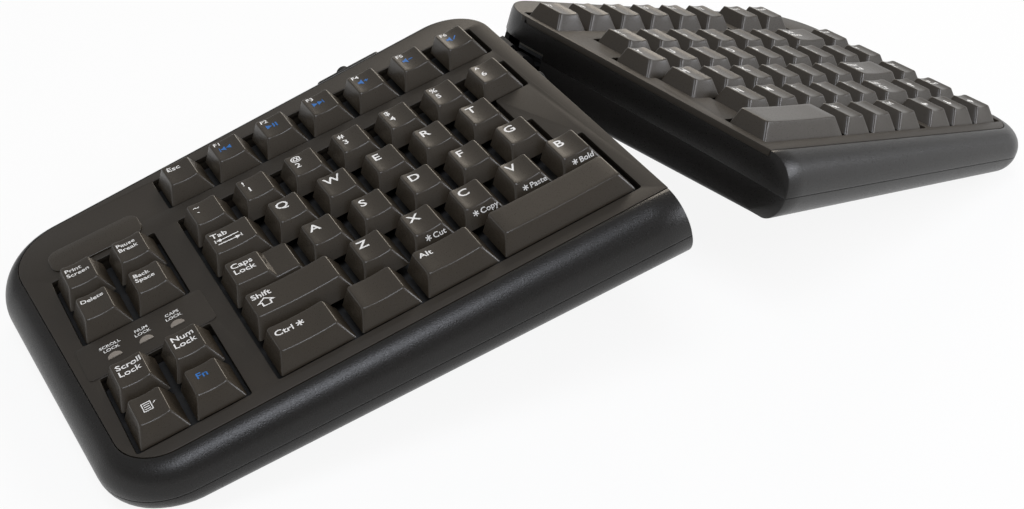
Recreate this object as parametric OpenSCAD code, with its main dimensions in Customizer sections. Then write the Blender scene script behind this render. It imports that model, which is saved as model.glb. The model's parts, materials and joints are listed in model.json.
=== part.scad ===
// Ergonomic split keyboard: two tented and splayed halves on a locking ball joint.
// Each half is drawn flat in its own frame and then placed in its standing pose:
// x runs outwards from the inner wall, y to the back from the home row, z up from the deck.

/* [Keys] */
// Distance from one key to the next
key_pitch = 19.05; // [18:0.05:20]
// Gap between the feet of two neighbouring keys
key_gap = 2.2; // [1.6:0.1:3]
// How much narrower the top of a key is than its pitch
key_top_gap = 8.9; // [6:0.1:10]
// Depth of the top of a key, front to back
key_top_depth = 12.6; // [11:0.1:13]
// How far the back of a key leans in
key_back_lean = 0.6; // [0.2:0.1:2]
// Height of the key tops over the deck
key_rise = 5.3; // [4:0.1:8]
// Depth of the key feet under the deck
key_sink = 1; // [0.5:0.1:1.5]
// Wall of a keycap
key_wall = 1.3; // [0.8:0.1:1.6]
// Depth of the finger dish
dish = 0.5; // [0.2:0.1:0.8]
// Travel of a key
travel = 3.5; // [2:0.1:4]
// Radius of a key's stem
stem_r = 2.6; // [2:0.1:3]
// Play around a stem in its guide
stem_play = 0.3; // [0.15:0.05:0.5]
// Play between the key pitch and the edge of its well
well_play = 0.3; // [0.1:0.1:0.8]
// Distance from the number row to the function row
function_gap = 28; // [24:0.5:30]
// Height left on the low shelf of the stepped caps lock key
caps_shelf = 2.2; // [1.5:0.1:3]

/* [Case] */
// Land between the outermost keys and the seam at the side
side_land = 4.3; // [4:0.1:8]
// Land between the front keys and the seam
front_land = 6.4; // [6:0.1:9]
// Land between the function row and the back wall
back_land = 17.4; // [17:0.1:20]
// Inner wall to the innermost keys, left half
left_margin = 6.7; // [6:0.1:9]
// Inner wall to the innermost keys, right half
right_margin = 5.2; // [5:0.1:8]
// Lean of the back wall, in degrees
back_skew = 4.3; // [3:0.1:5]
// Lean of the outer side, in degrees
side_skew = 2.6; // [1:0.1:4]
// Radius of the rolled front edge at the inner wall
roll_in = 12; // [11:0.25:14]
// Radius of the rolled edge at the outer end
roll_out = 9; // [8.5:0.25:10.5]
// Bend of the outer front corner
corner_r = 25; // [22:1:26]
// Bend of the outer back corner
back_corner_r = 28; // [22:1:32]
// Bend of the inner back corner
inner_corner_r = 20; // [18:1:22]
// Slope of the deck up to the back, in degrees
deck_slope = 2; // [1.5:0.1:2.5]
// Thickness of the deck
deck_t = 2.5; // [2:0.1:3]
// Open seam around the deck
seam = 0.3; // [0.15:0.05:0.5]
// Thickness of the inner wall
inner_wall = 1.7; // [1.4:0.1:1.9]
// Thickness of the back wall
back_wall = 2.4; // [2:0.1:3]
// Thickness of the rolled edge
roll_wall = 4.6; // [4:0.1:6]
// Thickness of the floor
floor_t = 1.8; // [1.6:0.1:1.9]
// Width of the ledge that carries the deck
ledge = 2; // [1.5:0.1:2.2]
// Depth of the parting line below the deck, at the inner wall
parting = 13; // [12:0.25:14]

/* [Key carrier] */
// Room left under a pressed key
press_room = 1; // [0.6:0.1:1.5]
// Thickness of the key frame
frame_t = 2; // [1.5:0.1:2.2]
// Wall of the key guides
guide_wall = 1.5; // [1:0.1:2]
// Height of the key guides over the frame
guide_h = 2.9; // [2:0.1:3]
// Length of a stem below the frame
stem_out = 0.5; // [0.2:0.1:1]
// Room left between a pressed stem and its dome
dome_room = 0.3; // [0.2:0.05:0.5]
// Thickness of the rubber dome sheet
dome_sheet_t = 0.8; // [0.6:0.1:1]
// Radius of a rubber dome
dome_r = 4.5; // [3.5:0.1:5.5]
// Height of a pressed rubber dome
dome_h = 1.4; // [1:0.1:1.5]
// Thickness of the contact membrane
membrane_t = 0.4; // [0.3:0.1:0.5]
// Thickness of the steel back plate
plate_t = 1; // [0.8:0.1:1.1]

/* [Pose] */
// Angle between the two decks, in degrees
tent = 32; // [28:0.5:36]
// Turn of each half to its side, in degrees
splay = 7; // [5:0.5:10]
// Height of the outer bottom edges over the table
edge_clear = 0.8; // [0.6:0.1:2]

/* [Joint] */
// Gap from the inner wall to the centre of the ball
pivot_gap = 4; // [3.8:0.1:5]
// Back wall to the centre of the ball
pivot_inset = 20; // [19:0.5:22]
// Height of the ball's centre over the underside
pivot_rise = 10; // [9.8:0.1:10.4]
// Radius of the ball
ball_r = 6.5; // [6:0.1:6.6]
// Play around the ball
ball_play = 0.15; // [0.1:0.05:0.25]
// Radius of the ball's side pins
trunnion_r = 3; // [2.5:0.1:3.5]
// Play around the side pins
trunnion_play = 0.05; // [0.03:0.01:0.1]
// Thickness of the yoke's arms
arm_t = 5; // [4:0.1:5.5]
// Gap between the ball and the arms
arm_gap = 0.7; // [0.5:0.1:1]
// Radius of the yoke's eyes
eye_r = 6; // [5:0.1:6.2]
// Half height of the socket's jaws
jaw_half = 7.2; // [7:0.1:7.3]
// Half width of the socket's jaws
jaw_side = 4.2; // [3.5:0.1:4.4]
// Reach of the jaws past the ball's centre
jaw_reach = 3.3; // [2.5:0.1:3.4]
// Place of the lock lever along the back wall
lever_x = 26; // [25:0.5:27]
// Length of the lock lever's handle
lever_w = 18; // [16:0.5:19]
// Radius of the lever's cam
cam_r = 5; // [4.6:0.1:5.2]
// Throw of the lever's cam
cam_throw = 1.2; // [1:0.1:1.3]
// Radius of the lever's pin
lever_pin_r = 1.6; // [1.2:0.1:2]
// Play between the cam, the plunger and the socket
clamp_play = 0.3; // [0.2:0.05:0.4]
// Radius of the clamp plunger
plunger_r = 3; // [2.5:0.1:3.4]

/* [Fittings] */
// Radius of the screw shanks
screw_r = 1.2; // [1:0.1:1.5]
// Radius of the screw heads
head_r = 3; // [2.5:0.1:3.2]
// Height of the screw heads
head_h = 2; // [1.5:0.1:2.2]
// Radius of the screw posts
post_r = 3.5; // [3:0.1:3.6]
// Width of a foot
foot_w = 10; // [8:1:12]
// Length of a foot
foot_l = 22; // [16:1:26]
// Thickness of the inner feet
foot_t = 4; // [3:0.1:5]
// Place of the cable gland along the back wall
gland_x = 53; // [52:0.5:58]
// Radius of the cable gland's neck
gland_r = 3.2; // [2.8:0.1:3.4]
// Radius of a status light window
light_r = 2.5; // [2:0.1:2.8]
// Width of the blank label plate
label_w = 34; // [28:1:36]
// Depth of the blank label plate
label_d = 12; // [10:0.5:13]
// Radius of the rubber stop on the inner wall
stop_r = 3.5; // [2.5:0.1:3.6]

/* [Hidden] */
$fn = 48;

// Colours
case_black = "#2b2a28";
deck_black = "#33312e";
key_black = "#3a3835";
rubber_black = "#161616";
steel = "#b9bcc0";
film_grey = "#8f9499";
dome_grey = "#c9c6bd";
board_green = "#1f5a3c";
light_smoke = "#8a8378";

// Middle of the footprint as seen from the ball joint
origin_shift = [5.65, 52.48];
// Small amount by which cutters pass the faces they cut
over = 1;
// Small amount by which two solids that become one run into each other
hair = 0.01;
// Depth under the deck that posts and cutters start from
below = 60;
// Half side of the blocks that cut along a plane
block = 500;
// Steps along a bend, and facets of the shallow finger dish
arc_steps = 10;
dish_facets = 480;

// Centre lines of the key rows
home_y = 0;
upper_y = key_pitch;
number_y = 2 * key_pitch;
lower_y = -key_pitch;
bottom_y = -2 * key_pitch;
function_y = number_y + function_gap;

// A run of single keys: [row, start, width], with start in key pitches from the innermost key
function row_of(y, start, count) = [for (i = [0:count - 1]) [y, start + i, 1]];

LEFT_KEYS = [
    ["left_function_keys", row_of(function_y, 0, 6)],
    ["escape_key", [[function_y, 6, 1]]],
    ["left_number_keys", row_of(number_y, 0, 7)],
    ["left_upper_letter_keys", row_of(upper_y, 0.75, 5)],
    ["tab_key", [[upper_y, 5.75, 1.25]]],
    ["left_home_letter_keys", row_of(home_y, 0.5, 5)],
    ["caps_lock_key", [[home_y, 5.5, 1.5]]],
    ["left_lower_letter_keys", row_of(lower_y, 0, 5)],
    ["left_shift_key", [[lower_y, 5, 2]]],
    ["left_space_bar", [[bottom_y, 0, 2.75]]],
    ["left_alt_key", [[bottom_y, 2.75, 1.5]]],
    ["left_system_key", [[bottom_y, 4.25, 1.25]]],
    ["left_control_key", [[bottom_y, 5.5, 1.5]]],
    ["edit_keys", concat(row_of(number_y, 7.5, 2), row_of(upper_y, 7.5, 2))],
    ["lock_keys", row_of(lower_y, 7.5, 2)],
    ["menu_key", [[bottom_y, 8.5, 1]]],
    ["fn_key", [[bottom_y, 7.5, 1]]]];

RIGHT_KEYS = [
    ["right_function_keys", row_of(function_y, -0.1, 6)],
    ["extra_function_keys", row_of(function_y, 6.25, 2)],
    ["right_number_keys", row_of(number_y, 0.5, 6)],
    ["backspace_key", [[number_y, 6.5, 1.5]]],
    ["right_upper_letter_keys", row_of(upper_y, 0, 7)],
    ["backslash_key", [[upper_y, 7, 1]]],
    ["right_home_letter_keys", row_of(home_y, 0.25, 6)],
    ["enter_key", [[home_y, 6.25, 1.75]]],
    ["right_lower_letter_keys", row_of(lower_y, 0.75, 5)],
    ["right_shift_key", [[lower_y, 5.75, 1.25]]],
    ["right_space_bar", [[bottom_y, 0, 2.75]]],
    ["right_modifier_keys", row_of(bottom_y, 2.75, 3)],
    ["arrow_keys", concat([[lower_y, 7, 1]], row_of(bottom_y, 6, 3))],
    ["page_keys", [for (y = [number_y, upper_y, home_y, lower_y]) [y, 8, 1]]]];

function all_keys(table) = [for (entry = table, key = entry[1]) key];
function keys_of(table, name) = [for (entry = table) if (entry[0] == name) entry[1]][0];

// Where the columns of keys end on each half, and where the taller part of the frame ends
left_span = 9.5 * key_pitch;
right_span = 9 * key_pitch;
left_tall_span = 7 * key_pitch;
right_tall_span = 8.25 * key_pitch;

// Reach of each half from its inner wall and from the home row
left_width = left_margin + left_span + side_land + roll_out;
right_width = right_margin + right_span + side_land + roll_out;
front_reach = key_pitch / 2 - bottom_y + front_land;
back_reach = function_y + key_pitch / 2 + back_land;
pivot_y = back_reach - pivot_inset;

// Depths of the frame and of the contact layers below the deck
frame_depth = key_sink + travel + press_room;
layers_depth = frame_depth + frame_t + stem_out + travel + dome_room + dome_h;

// Plan of a half. The seam line is the edge of the deck, and the roll lies outside it.
bend = corner_r - roll_out;
corner_y = -front_reach + bend;
deck_back = 2.2;
deck_corner_r = 20;
// The roll lies a touch under the deck and the floor cuts a flat on it
roll_sink = 0.15;
floor_flat = 0.2;
floor_depth = 2 * roll_in - floor_flat;
shoulder = 0.6;
function side_x(w, y) = w - roll_out + (y + front_reach) * tan(side_skew);
function corner_x(w) = side_x(w, corner_y) - bend / cos(side_skew);
function back_y(x) = back_reach - x * tan(back_skew);
function floor_tilt(w) = atan(2 * (roll_in - roll_out) / corner_x(w));
function roll_lean(w) = atan((roll_in - roll_out) / corner_x(w));
function floor_z(w, x, y) =
    -floor_depth + x * tan(floor_tilt(w)) - (y + front_reach) * tan(deck_slope);
function back_corner(side, back) =
    let (x = (side + (back + front_reach) * tan(side_skew)) / (1 + tan(back_skew) * tan(side_skew)))
    [x, back - x * tan(back_skew)];

function unit(v) = v / norm(v);
function bent(a, b, c, r) =
    let (u = unit(a - b), v = unit(c - b), half = acos(u * v) / 2,
         middle = b + unit(u + v) * r / sin(half), t = r / tan(half),
         p = b + u * t - middle, q = b + v * t - middle,
         start = atan2(p[1], p[0]), turn = (atan2(q[1], q[0]) - start + 540) % 360 - 180)
    [for (i = [0:arc_steps]) let (a = start + turn * i / arc_steps) middle + r * [cos(a), sin(a)]];
// Corners as [x, y, bend radius]
function rounded(corners) =
    let (n = len(corners), p = [for (c = corners) [c[0], c[1]]])
    [for (i = [0:n - 1])
        each (corners[i][2] == 0 ? [p[i]] : bent(p[(i + n - 1) % n], p[i], p[(i + 1) % n], corners[i][2]))];

// Edge of the whole half, with room in front for the roll
function half_outline(w) =
    let (slack = 0.3, corner = back_corner(w + slack, back_reach), front = -front_reach - roll_in - over)
    rounded([[0, front, 0], [side_x(w, front) + roll_out + slack, front, 0],
             [corner[0], corner[1], back_corner_r], [0, back_reach, inner_corner_r]]);
// Edge of the deck, drawn in by a gap
function deck_outline(w, gap, inner) =
    let (back = back_reach - deck_back - gap, corner = back_corner(w - roll_out - gap, back),
         front = -front_reach + gap)
    rounded([[inner, front, 0], [side_x(w, front) - gap, front, bend - gap],
             [corner[0], corner[1], deck_corner_r - gap],
             [inner, back, inner_corner_r - deck_back - gap]]);
// Edge of the room inside
function room_outline(w) =
    let (out = roll_out - roll_wall, back = back_reach - back_wall, front = -front_reach - out,
         corner = back_corner(w - roll_out + out, back))
    rounded([[inner_wall, front, 0], [side_x(w, front) + out, front, bend + out],
             [corner[0], corner[1], back_corner_r - back_wall],
             [inner_wall, back, inner_corner_r - back_wall]]);

// Standing pose. Both halves stand on their outer bottom edges, so the narrower one leans more.
foot_inset = 1.5;
low_y = 55;
pivot_z = floor_z(left_width, 0, pivot_y) + pivot_rise;
pivot = [-pivot_gap, pivot_y, pivot_z];
function edge_x(w) = side_x(w, low_y) + shoulder;
function edge_reach(w) = edge_x(w) + pivot_gap;
function edge_drop(w) = (-front_reach - pivot_y) * sin(deck_slope)
    + (floor_z(w, edge_x(w), -front_reach) - pivot_z) * cos(deck_slope);
left_tent = atan((edge_reach(right_width) * sin(tent) - edge_drop(right_width) * cos(tent)
    + edge_drop(left_width))
    / (edge_reach(left_width) + edge_reach(right_width) * cos(tent) + edge_drop(right_width) * sin(tent)));
right_tent = tent - left_tent;
pivot_height = edge_clear + edge_reach(left_width) * sin(left_tent) - edge_drop(left_width) * cos(left_tent);

module at_pivot() translate([origin_shift[0], origin_shift[1], pivot_height]) children();
module on_right()
    at_pivot() rotate([0, 0, splay]) rotate([0, right_tent, 0]) rotate([deck_slope, 0, 0])
        translate(-pivot) children();
module on_left()
    at_pivot() mirror([1, 0, 0]) rotate([0, 0, splay]) rotate([0, left_tent, 0]) rotate([deck_slope, 0, 0])
        translate(-pivot) children();
module on_floor(w)
    translate([0, -front_reach, -floor_depth]) rotate([-deck_slope, -floor_tilt(w), 0]) children();
module slab(points, low, high) translate([0, 0, low]) linear_extrude(high - low) polygon(points);
module over_floor(w, lift) on_floor(w) translate([-block, -block, lift]) cube(2 * block);
// Everything above the parting plane, which follows the middle of the rolled edge
module over_parting(w)
    translate([0, 0, -parting]) rotate([0, -roll_lean(w), 0]) translate([-block, -block, 0]) cube(2 * block);

// Outer form of a half: a core inside the seam line and a roll around its front and outer side
module half_form(w) {
    low = -below;
    deep = 160;
    lead = 6;
    lap = 0.2;
    step = 0.05;
    lean = roll_lean(w);
    run = corner_x(w);
    growth = (roll_in - roll_out) / run;
    front = -front_reach - shoulder;
    side_start = [run + bend * cos(side_skew), corner_y - bend * sin(side_skew)];
    intersection() {
        slab(half_outline(w), low, over);
        over_floor(w, 0);
        union() {
            slab(rounded([[-over, front, 0], [side_x(w, front) + shoulder, front, bend + shoulder],
                          [side_x(w, deep) + shoulder, deep, 0], [-over, deep, 0]]), low - over, 0);
            translate([-lead, -front_reach, -roll_in - lead * growth - roll_sink]) rotate([0, 90 - lean, 0])
                cylinder(r1 = roll_in + lead * growth, r2 = roll_out + step,
                         h = (run + lead) / cos(lean) + lap);
            translate([run, corner_y, -roll_out - roll_sink]) rotate([0, 0, -90])
                rotate_extrude(angle = 90 - side_skew) translate([bend, 0]) circle(roll_out);
            translate([side_start[0], side_start[1], -roll_out - roll_sink]) rotate([0, 0, -side_skew])
                rotate([-90, 0, 0]) translate([0, 0, -lap]) cylinder(r = roll_out + step, h = deep);
        }
    }
}

// Screws hold the rim down through the floor
screw_in = 14;
screw_side_y = 14;
screw_back_x = 75;
screw_out = 0.6;
screw_corner = 5;
screw_grip = 8;
thread_play = 0.05;
post_gap = 0.4;
screw_front_y = -front_reach - screw_out;
function screw_places(w) = [[screw_in, screw_front_y], [corner_x(w) / 2, screw_front_y],
    [corner_x(w) - screw_corner, screw_front_y],
    [screw_back_x, back_y(screw_back_x) - back_wall - post_r - post_gap],
    [side_x(w, screw_side_y), screw_side_y]];
pad_wall = 1.2;
pad_r = head_r + pad_wall;
pad_h = 4.5;
head_room = 0.2;
module pin_at(w, place, r, low, high)
    on_floor(w) translate([place[0], place[1] + front_reach, low]) cylinder(r = r, h = high - low);
module screw_at(w, place) {
    pin_at(w, place, head_r, pad_h - floor_t - head_h, pad_h - floor_t);
    pin_at(w, place, screw_r, pad_h - floor_t - head_h / 2, pad_h + screw_grip);
}

// Opening in the inner wall for the joint, deep enough for the bent wall behind it
window_half = 15.5;
window_depth = 10;
window_sill = 0.1;
module joint_window()
    translate([-over, pivot_y - window_half, pivot_z - pivot_rise + floor_t + window_sill])
        cube([window_depth, 2 * window_half, 2 * (pivot_rise - floor_t - window_sill)]);

// Posts that carry the back plate, placed in key pitches
plate_post_columns = [1.2, 4.8, 7.8];
plate_post_rows = [-1.7, 1.7];
plate_post_r = 4;
function plate_posts() = [for (x = plate_post_columns, y = plate_post_rows) [x, y] * key_pitch];
layers_bottom = layers_depth + dome_sheet_t + membrane_t + plate_t;

module base(w, screws) {
    difference() {
        union() {
            difference() {
                half_form(w);
                over_parting(w);
                intersection() {
                    slab(room_outline(w), -below, over);
                    over_floor(w, floor_t);
                }
            }
            intersection() {
                half_form(w);
                union() {
                    for (p = plate_posts()) translate([p[0], p[1], -below])
                        cylinder(r = plate_post_r, h = below - layers_bottom);
                    for (p = screws) pin_at(w, p, pad_r, floor_t - over, pad_h);
                }
            }
        }
        joint_window();
        for (p = screws) {
            pin_at(w, p, head_r + head_room, -over, pad_h - floor_t);
            pin_at(w, p, screw_r + head_room, 0, pad_h + over);
        }
    }
}

// Thickness of the ledge that carries the deck
ledge_t = 2;
module rim(w, screws) {
    difference() {
        union() {
            difference() {
                intersection() {
                    half_form(w);
                    over_parting(w);
                }
                slab(room_outline(w), -below, -deck_t - ledge_t);
                slab(deck_outline(w, ledge, inner_wall), -below, over);
            }
            intersection() {
                slab(room_outline(w), -below, -deck_t);
                union() for (p = screws) pin_at(w, p, post_r, pad_h, below);
            }
        }
        slab(deck_outline(w, 0, -over), -deck_t, over);
        for (p = screws) pin_at(w, p, screw_r + thread_play, pad_h - over, pad_h + screw_grip + 2 * over);
        joint_window();
    }
}

// Key wells of a half, grown by a margin
module wells(table, margin, grow)
    for (key = all_keys(table))
        translate([margin + key[1] * key_pitch - grow, key[0] - key_pitch / 2 - grow])
            square([key[2] * key_pitch + 2 * grow, key_pitch + 2 * grow]);

module deck(w, table, margin) {
    skirt = 1;
    difference() {
        union() {
            slab(deck_outline(w, seam, 0), -deck_t, 0);
            intersection() {
                translate([0, 0, -frame_depth]) linear_extrude(frame_depth - deck_t / 2)
                    wells(table, margin, well_play + skirt);
                slab(deck_outline(w, ledge + seam, inner_wall + seam), -frame_depth - over, 0);
            }
        }
        translate([0, 0, -frame_depth - over]) linear_extrude(frame_depth + 2 * over)
            wells(table, margin, well_play);
    }
}

// Plan of the key carrier: tall where the function row is, low beside the outer columns
carrier_edge = 2;
carrier_gap = 1.2;
carrier_inner = inner_wall + carrier_gap;
function carrier(margin, span, tall) =
    let (front = bottom_y - key_pitch / 2 - carrier_edge, back = function_y + key_pitch / 2 + carrier_edge,
         low_back = number_y + key_pitch / 2 + carrier_edge, outer = margin + span + carrier_edge,
         step = margin + tall + carrier_edge)
    [[carrier_inner, front], [outer, front], [outer, low_back], [step, low_back], [step, back],
     [carrier_inner, back]];
// Plan of what lies under the frame, drawn in by a thickness: it leaves the joint its corner
joint_room = 7.4;
function layer(margin, span, tall, thick = 0) =
    let (p = carrier(margin, span, tall), notch_y = pivot_y - window_half - over)
    [p[0] + [thick, thick], p[1] + [-thick, thick], p[2] - [thick, thick], p[3] - [thick, thick],
     p[4] - [thick, thick], [joint_room + thick, p[4][1] - thick], [joint_room + thick, notch_y - thick],
     [carrier_inner + thick, notch_y - thick]];

// Stems of a key: one in the middle, or two under a long key
stem_y = 1.2;
function stem_offsets(width) = width < 2 ? [0] : [-(width - 1) / 2 * key_pitch, (width - 1) / 2 * key_pitch];
module at_stems(table, margin)
    for (key = all_keys(table), offset = stem_offsets(key[2]))
        translate([margin + (key[1] + key[2] / 2) * key_pitch + offset, key[0] + stem_y, 0]) children();

module carrier_walls(margin, span, tall) {
    thick = 1.2;
    difference() {
        slab(layer(margin, span, tall), -layers_depth, -frame_depth - frame_t / 2);
        slab(layer(margin, span, tall, thick), -layers_depth - over, -frame_depth - frame_t);
    }
}

module key_frame(table, margin, span, tall) {
    bore = stem_r + stem_play;
    difference() {
        union() {
            slab(carrier(margin, span, tall), -frame_depth - frame_t, -frame_depth);
            carrier_walls(margin, span, tall);
            at_stems(table, margin) translate([0, 0, -frame_depth - frame_t / 2])
                cylinder(r = bore + guide_wall, h = guide_h + frame_t / 2);
        }
        at_stems(table, margin) translate([0, 0, -frame_depth - frame_t - over])
            cylinder(r = bore, h = guide_h + frame_t + 2 * over);
    }
}

module domes(table, margin, span, tall) {
    slab(layer(margin, span, tall), -layers_depth - dome_sheet_t, -layers_depth);
    at_stems(table, margin) translate([0, 0, -layers_depth - dome_sheet_t / 2])
        cylinder(r = dome_r, h = dome_h + dome_sheet_t / 2);
}

module membrane(margin, span, tall)
    slab(layer(margin, span, tall), -layers_depth - dome_sheet_t - membrane_t, -layers_depth - dome_sheet_t);

module back_plate(margin, span, tall)
    slab(layer(margin, span, tall), -layers_bottom, -layers_bottom + plate_t);

// Feet: the outer ones are cut level with the table, the inner ones carry the half when it lies flat
foot_places = [18, 84];
foot_block = 8;
inner_foot_x = 20;
function foot_x(w) = side_x(w, -front_reach) - foot_inset;
module outer_foot_blocks(w)
    on_floor(w) for (y = foot_places) translate([foot_x(w) - foot_w, y, -foot_block])
        cube([foot_w, foot_l, foot_block]);
module inner_foot_pads(w)
    on_floor(w) for (y = foot_places) translate([inner_foot_x, y, -foot_t]) cube([foot_w, foot_l, foot_t]);
module above_table() translate([-block, -block, 0]) cube(2 * block);

// A keycap, with its middle on the cell's middle and the deck at z = 0
function key_front_top() = key_pitch / 2 - key_gap / 2 - key_back_lean - key_top_depth;
module tapered(width, inset, low, high) {
    foot_x = width * key_pitch / 2 - key_gap / 2 - inset;
    top_x = width * key_pitch / 2 - key_top_gap / 2 - inset;
    foot_y = key_pitch / 2 - key_gap / 2 - inset;
    front_top = key_front_top() + inset;
    back_top = key_front_top() + key_top_depth - inset;
    intersection() {
        translate([0, key_pitch / 2, 0]) rotate([90, 0, 0]) linear_extrude(key_pitch)
            polygon([[-foot_x, low], [foot_x, low], [top_x, high], [-top_x, high]]);
        translate([-width * key_pitch / 2, 0, 0]) rotate([90, 0, 90]) linear_extrude(width * key_pitch)
            polygon([[-foot_y, low], [foot_y, low], [back_top, high], [front_top, high]]);
    }
}

// Width of the low shelf of the stepped key, in pitches, and width from which a key has no dish
caps_step = 0.43;
long_key = 2.5;
module keycap(width, shelf = 0) {
    top_half = width * key_pitch / 2 - key_top_gap / 2;
    bowl = top_half * top_half / (2 * dish) + dish / 2;
    shelf_x = -width * key_pitch / 2 + caps_step * key_pitch;
    difference() {
        tapered(width, 0, -key_sink, key_rise);
        difference() {
            translate([0, 0, -hair]) tapered(width, key_wall, -key_sink, key_rise - key_wall - dish);
            if (shelf > 0) translate([-width * key_pitch, -key_pitch, shelf - key_wall])
                cube([width * key_pitch + shelf_x + key_wall, 2 * key_pitch, 2 * key_rise]);
        }
        if (width < long_key) translate([0, 0, key_rise - dish + bowl]) rotate([90, 0, 0])
            cylinder(r = bowl, h = 2 * key_pitch, center = true, $fn = dish_facets);
        if (shelf > 0) translate([-width * key_pitch, -key_pitch, shelf])
            cube([width * key_pitch + shelf_x, 2 * key_pitch, 2 * key_rise]);
    }
    for (offset = stem_offsets(width)) translate([offset, stem_y, -frame_depth - frame_t - stem_out])
        cylinder(r = stem_r, h = frame_depth + frame_t + stem_out + key_rise - key_wall / 2 - dish);
}

module keys(table, margin, name, shelf = 0)
    for (key = keys_of(table, name))
        translate([margin + (key[1] + key[2] / 2) * key_pitch, key[0], 0]) keycap(key[2], shelf);
module left_keys(name, shelf = 0) color(key_black) on_left() keys(LEFT_KEYS, left_margin, name, shelf);
module right_keys(name) color(key_black) on_right() keys(RIGHT_KEYS, right_margin, name);

// Lock lever, its pin and the plunger that it presses on the socket
lever_in = 1.5;
lever_drop = 2.5;
lever_y = back_y(lever_x) - lever_in;
lever_z = pivot_z - lever_drop;
pin_play = 0.05;
ear_t = 3.6;
ear_l = 12;
ear_h = 3.6;
ear_gap = 0.6;
tail_half = 5;
tail_back = pivot_y + tail_half;
plunger_play = 0.1;
plunger_gap = 0.2;
plunger_guide_side = 2.5;
plunger_guide_top = 1.2;
plunger_guide_gap = 1;
plunger_guide_t = 2.8;
cam_face = lever_y - cam_throw - cam_r;
module along_x(x, y, z, r, length)
    translate([x, y, z]) rotate([0, 90, 0]) cylinder(r = r, h = length, center = true);
slot_gap = 1;
slot_in = 4;
slot_out = 12;
slot_low = 5.6;
slot_high = 6.2;
module lever_slot()
    translate([lever_x - lever_w / 2 - slot_gap, lever_y - slot_in, lever_z - slot_low])
        cube([lever_w + 2 * slot_gap, slot_in + slot_out, slot_low + slot_high]);
module lever_bearings() {
    intersection() {
        half_form(left_width);
        union() {
            for (s = [-1, 1]) translate([lever_x + s * (lever_w / 2 + ear_gap + ear_t / 2), 0, 0])
                translate([-ear_t / 2, lever_y - slot_in, -below])
                    cube([ear_t, ear_l, below + lever_z + ear_h]);
            translate([lever_x - plunger_r - plunger_guide_side, tail_back + plunger_guide_gap, -below])
                cube([2 * (plunger_r + plunger_guide_side), plunger_guide_t,
                      below + lever_z + plunger_r + plunger_guide_top]);
        }
    }
}
module lever_bores() {
    along_x(lever_x, lever_y, lever_z, lever_pin_r + pin_play, 3 * lever_w);
    translate([lever_x, tail_back, lever_z]) rotate([-90, 0, 0])
        cylinder(r = plunger_r + plunger_play, h = plunger_guide_t + 2 * plunger_guide_gap);
}

// Raised boss on the back wall and the hole for the cable gland
gland_z = -8.9;
gland_play = 0.1;
gland_reach = 8;
boss_out = 2.5;
boss_w = 28;
boss_low = 2.9;
boss_high = 6.9;
boss_lap = 0.5;
module at_gland() translate([gland_x, back_y(gland_x), gland_z]) rotate([0, 0, -back_skew]) children();
module along_y(y, r1, r2, length)
    translate([0, y, 0]) rotate([-90, 0, 0]) cylinder(r1 = r1, r2 = r2, h = length);
module cable_boss() at_gland() translate([-boss_w / 2, -boss_lap, -boss_low])
    cube([boss_w, boss_out + boss_lap, boss_low + boss_high]);
module gland_hole() at_gland()
    along_y(-gland_reach, gland_r + gland_play, gland_r + gland_play, 2 * gland_reach);

// Status lights and label
light_y = -3.1;
light_column = 7.95;
light_step = 0.58;
light_places = [for (i = [0:2]) left_margin + (light_column + i * light_step) * key_pitch];
light_sink = 1.2;
light_rise = 0.6;
light_play = 0.15;
module light(r, low, high)
    intersection() {
        translate([0, 0, low]) cylinder(r = r, h = high - low);
        translate([-r - over, 0, low]) cube([2 * (r + over), r + over, high - low]);
    }
label_t = 0.7;
label_gap = 3.2;
label_column = 8.5;
label_place = [left_margin + label_column * key_pitch, number_y + key_pitch / 2 + label_d / 2 + label_gap];

module left_base() color(case_black) on_left() difference() {
    union() {
        base(left_width, screw_places(left_width));
        difference() {
            lever_bearings();
            over_parting(left_width);
        }
        intersection() {
            half_form(left_width);
            board_posts();
        }
    }
    lever_bores();
    lever_slot();
}
module right_base() color(case_black) on_right() base(right_width, screw_places(right_width));

module left_rim() color(case_black) on_left() difference() {
    union() {
        rim(left_width, screw_places(left_width));
        cable_boss();
    }
    gland_hole();
    lever_slot();
}
module right_rim() color(case_black) on_right() rim(right_width, screw_places(right_width));

module left_deck() color(deck_black) on_left() difference() {
    deck(left_width, LEFT_KEYS, left_margin);
    for (x = light_places) translate([x, light_y, 0]) light(light_r + light_play, -light_sink, over);
}
module right_deck() color(deck_black) on_right() deck(right_width, RIGHT_KEYS, right_margin);

module left_key_frame() color(rubber_black) on_left()
    key_frame(LEFT_KEYS, left_margin, left_span, left_tall_span);
module right_key_frame() color(rubber_black) on_right()
    key_frame(RIGHT_KEYS, right_margin, right_span, right_tall_span);
module left_domes() color(dome_grey) on_left() domes(LEFT_KEYS, left_margin, left_span, left_tall_span);
module right_domes() color(dome_grey) on_right() domes(RIGHT_KEYS, right_margin, right_span, right_tall_span);
module left_membrane() color(film_grey) on_left() membrane(left_margin, left_span, left_tall_span);
module right_membrane() color(film_grey) on_right() membrane(right_margin, right_span, right_tall_span);
module left_back_plate() color(steel) on_left() back_plate(left_margin, left_span, left_tall_span);
module right_back_plate() color(steel) on_right() back_plate(right_margin, right_span, right_tall_span);

module left_feet() color(rubber_black) {
    intersection() {
        on_left() outer_foot_blocks(left_width);
        above_table();
    }
    on_left() inner_foot_pads(left_width);
}
module right_feet() color(rubber_black) {
    intersection() {
        on_right() outer_foot_blocks(right_width);
        above_table();
    }
    on_right() inner_foot_pads(right_width);
}
module left_screws() color(steel) on_left() for (p = screw_places(left_width)) screw_at(left_width, p);
module right_screws() color(steel) on_right() for (p = screw_places(right_width)) screw_at(right_width, p);

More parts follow.
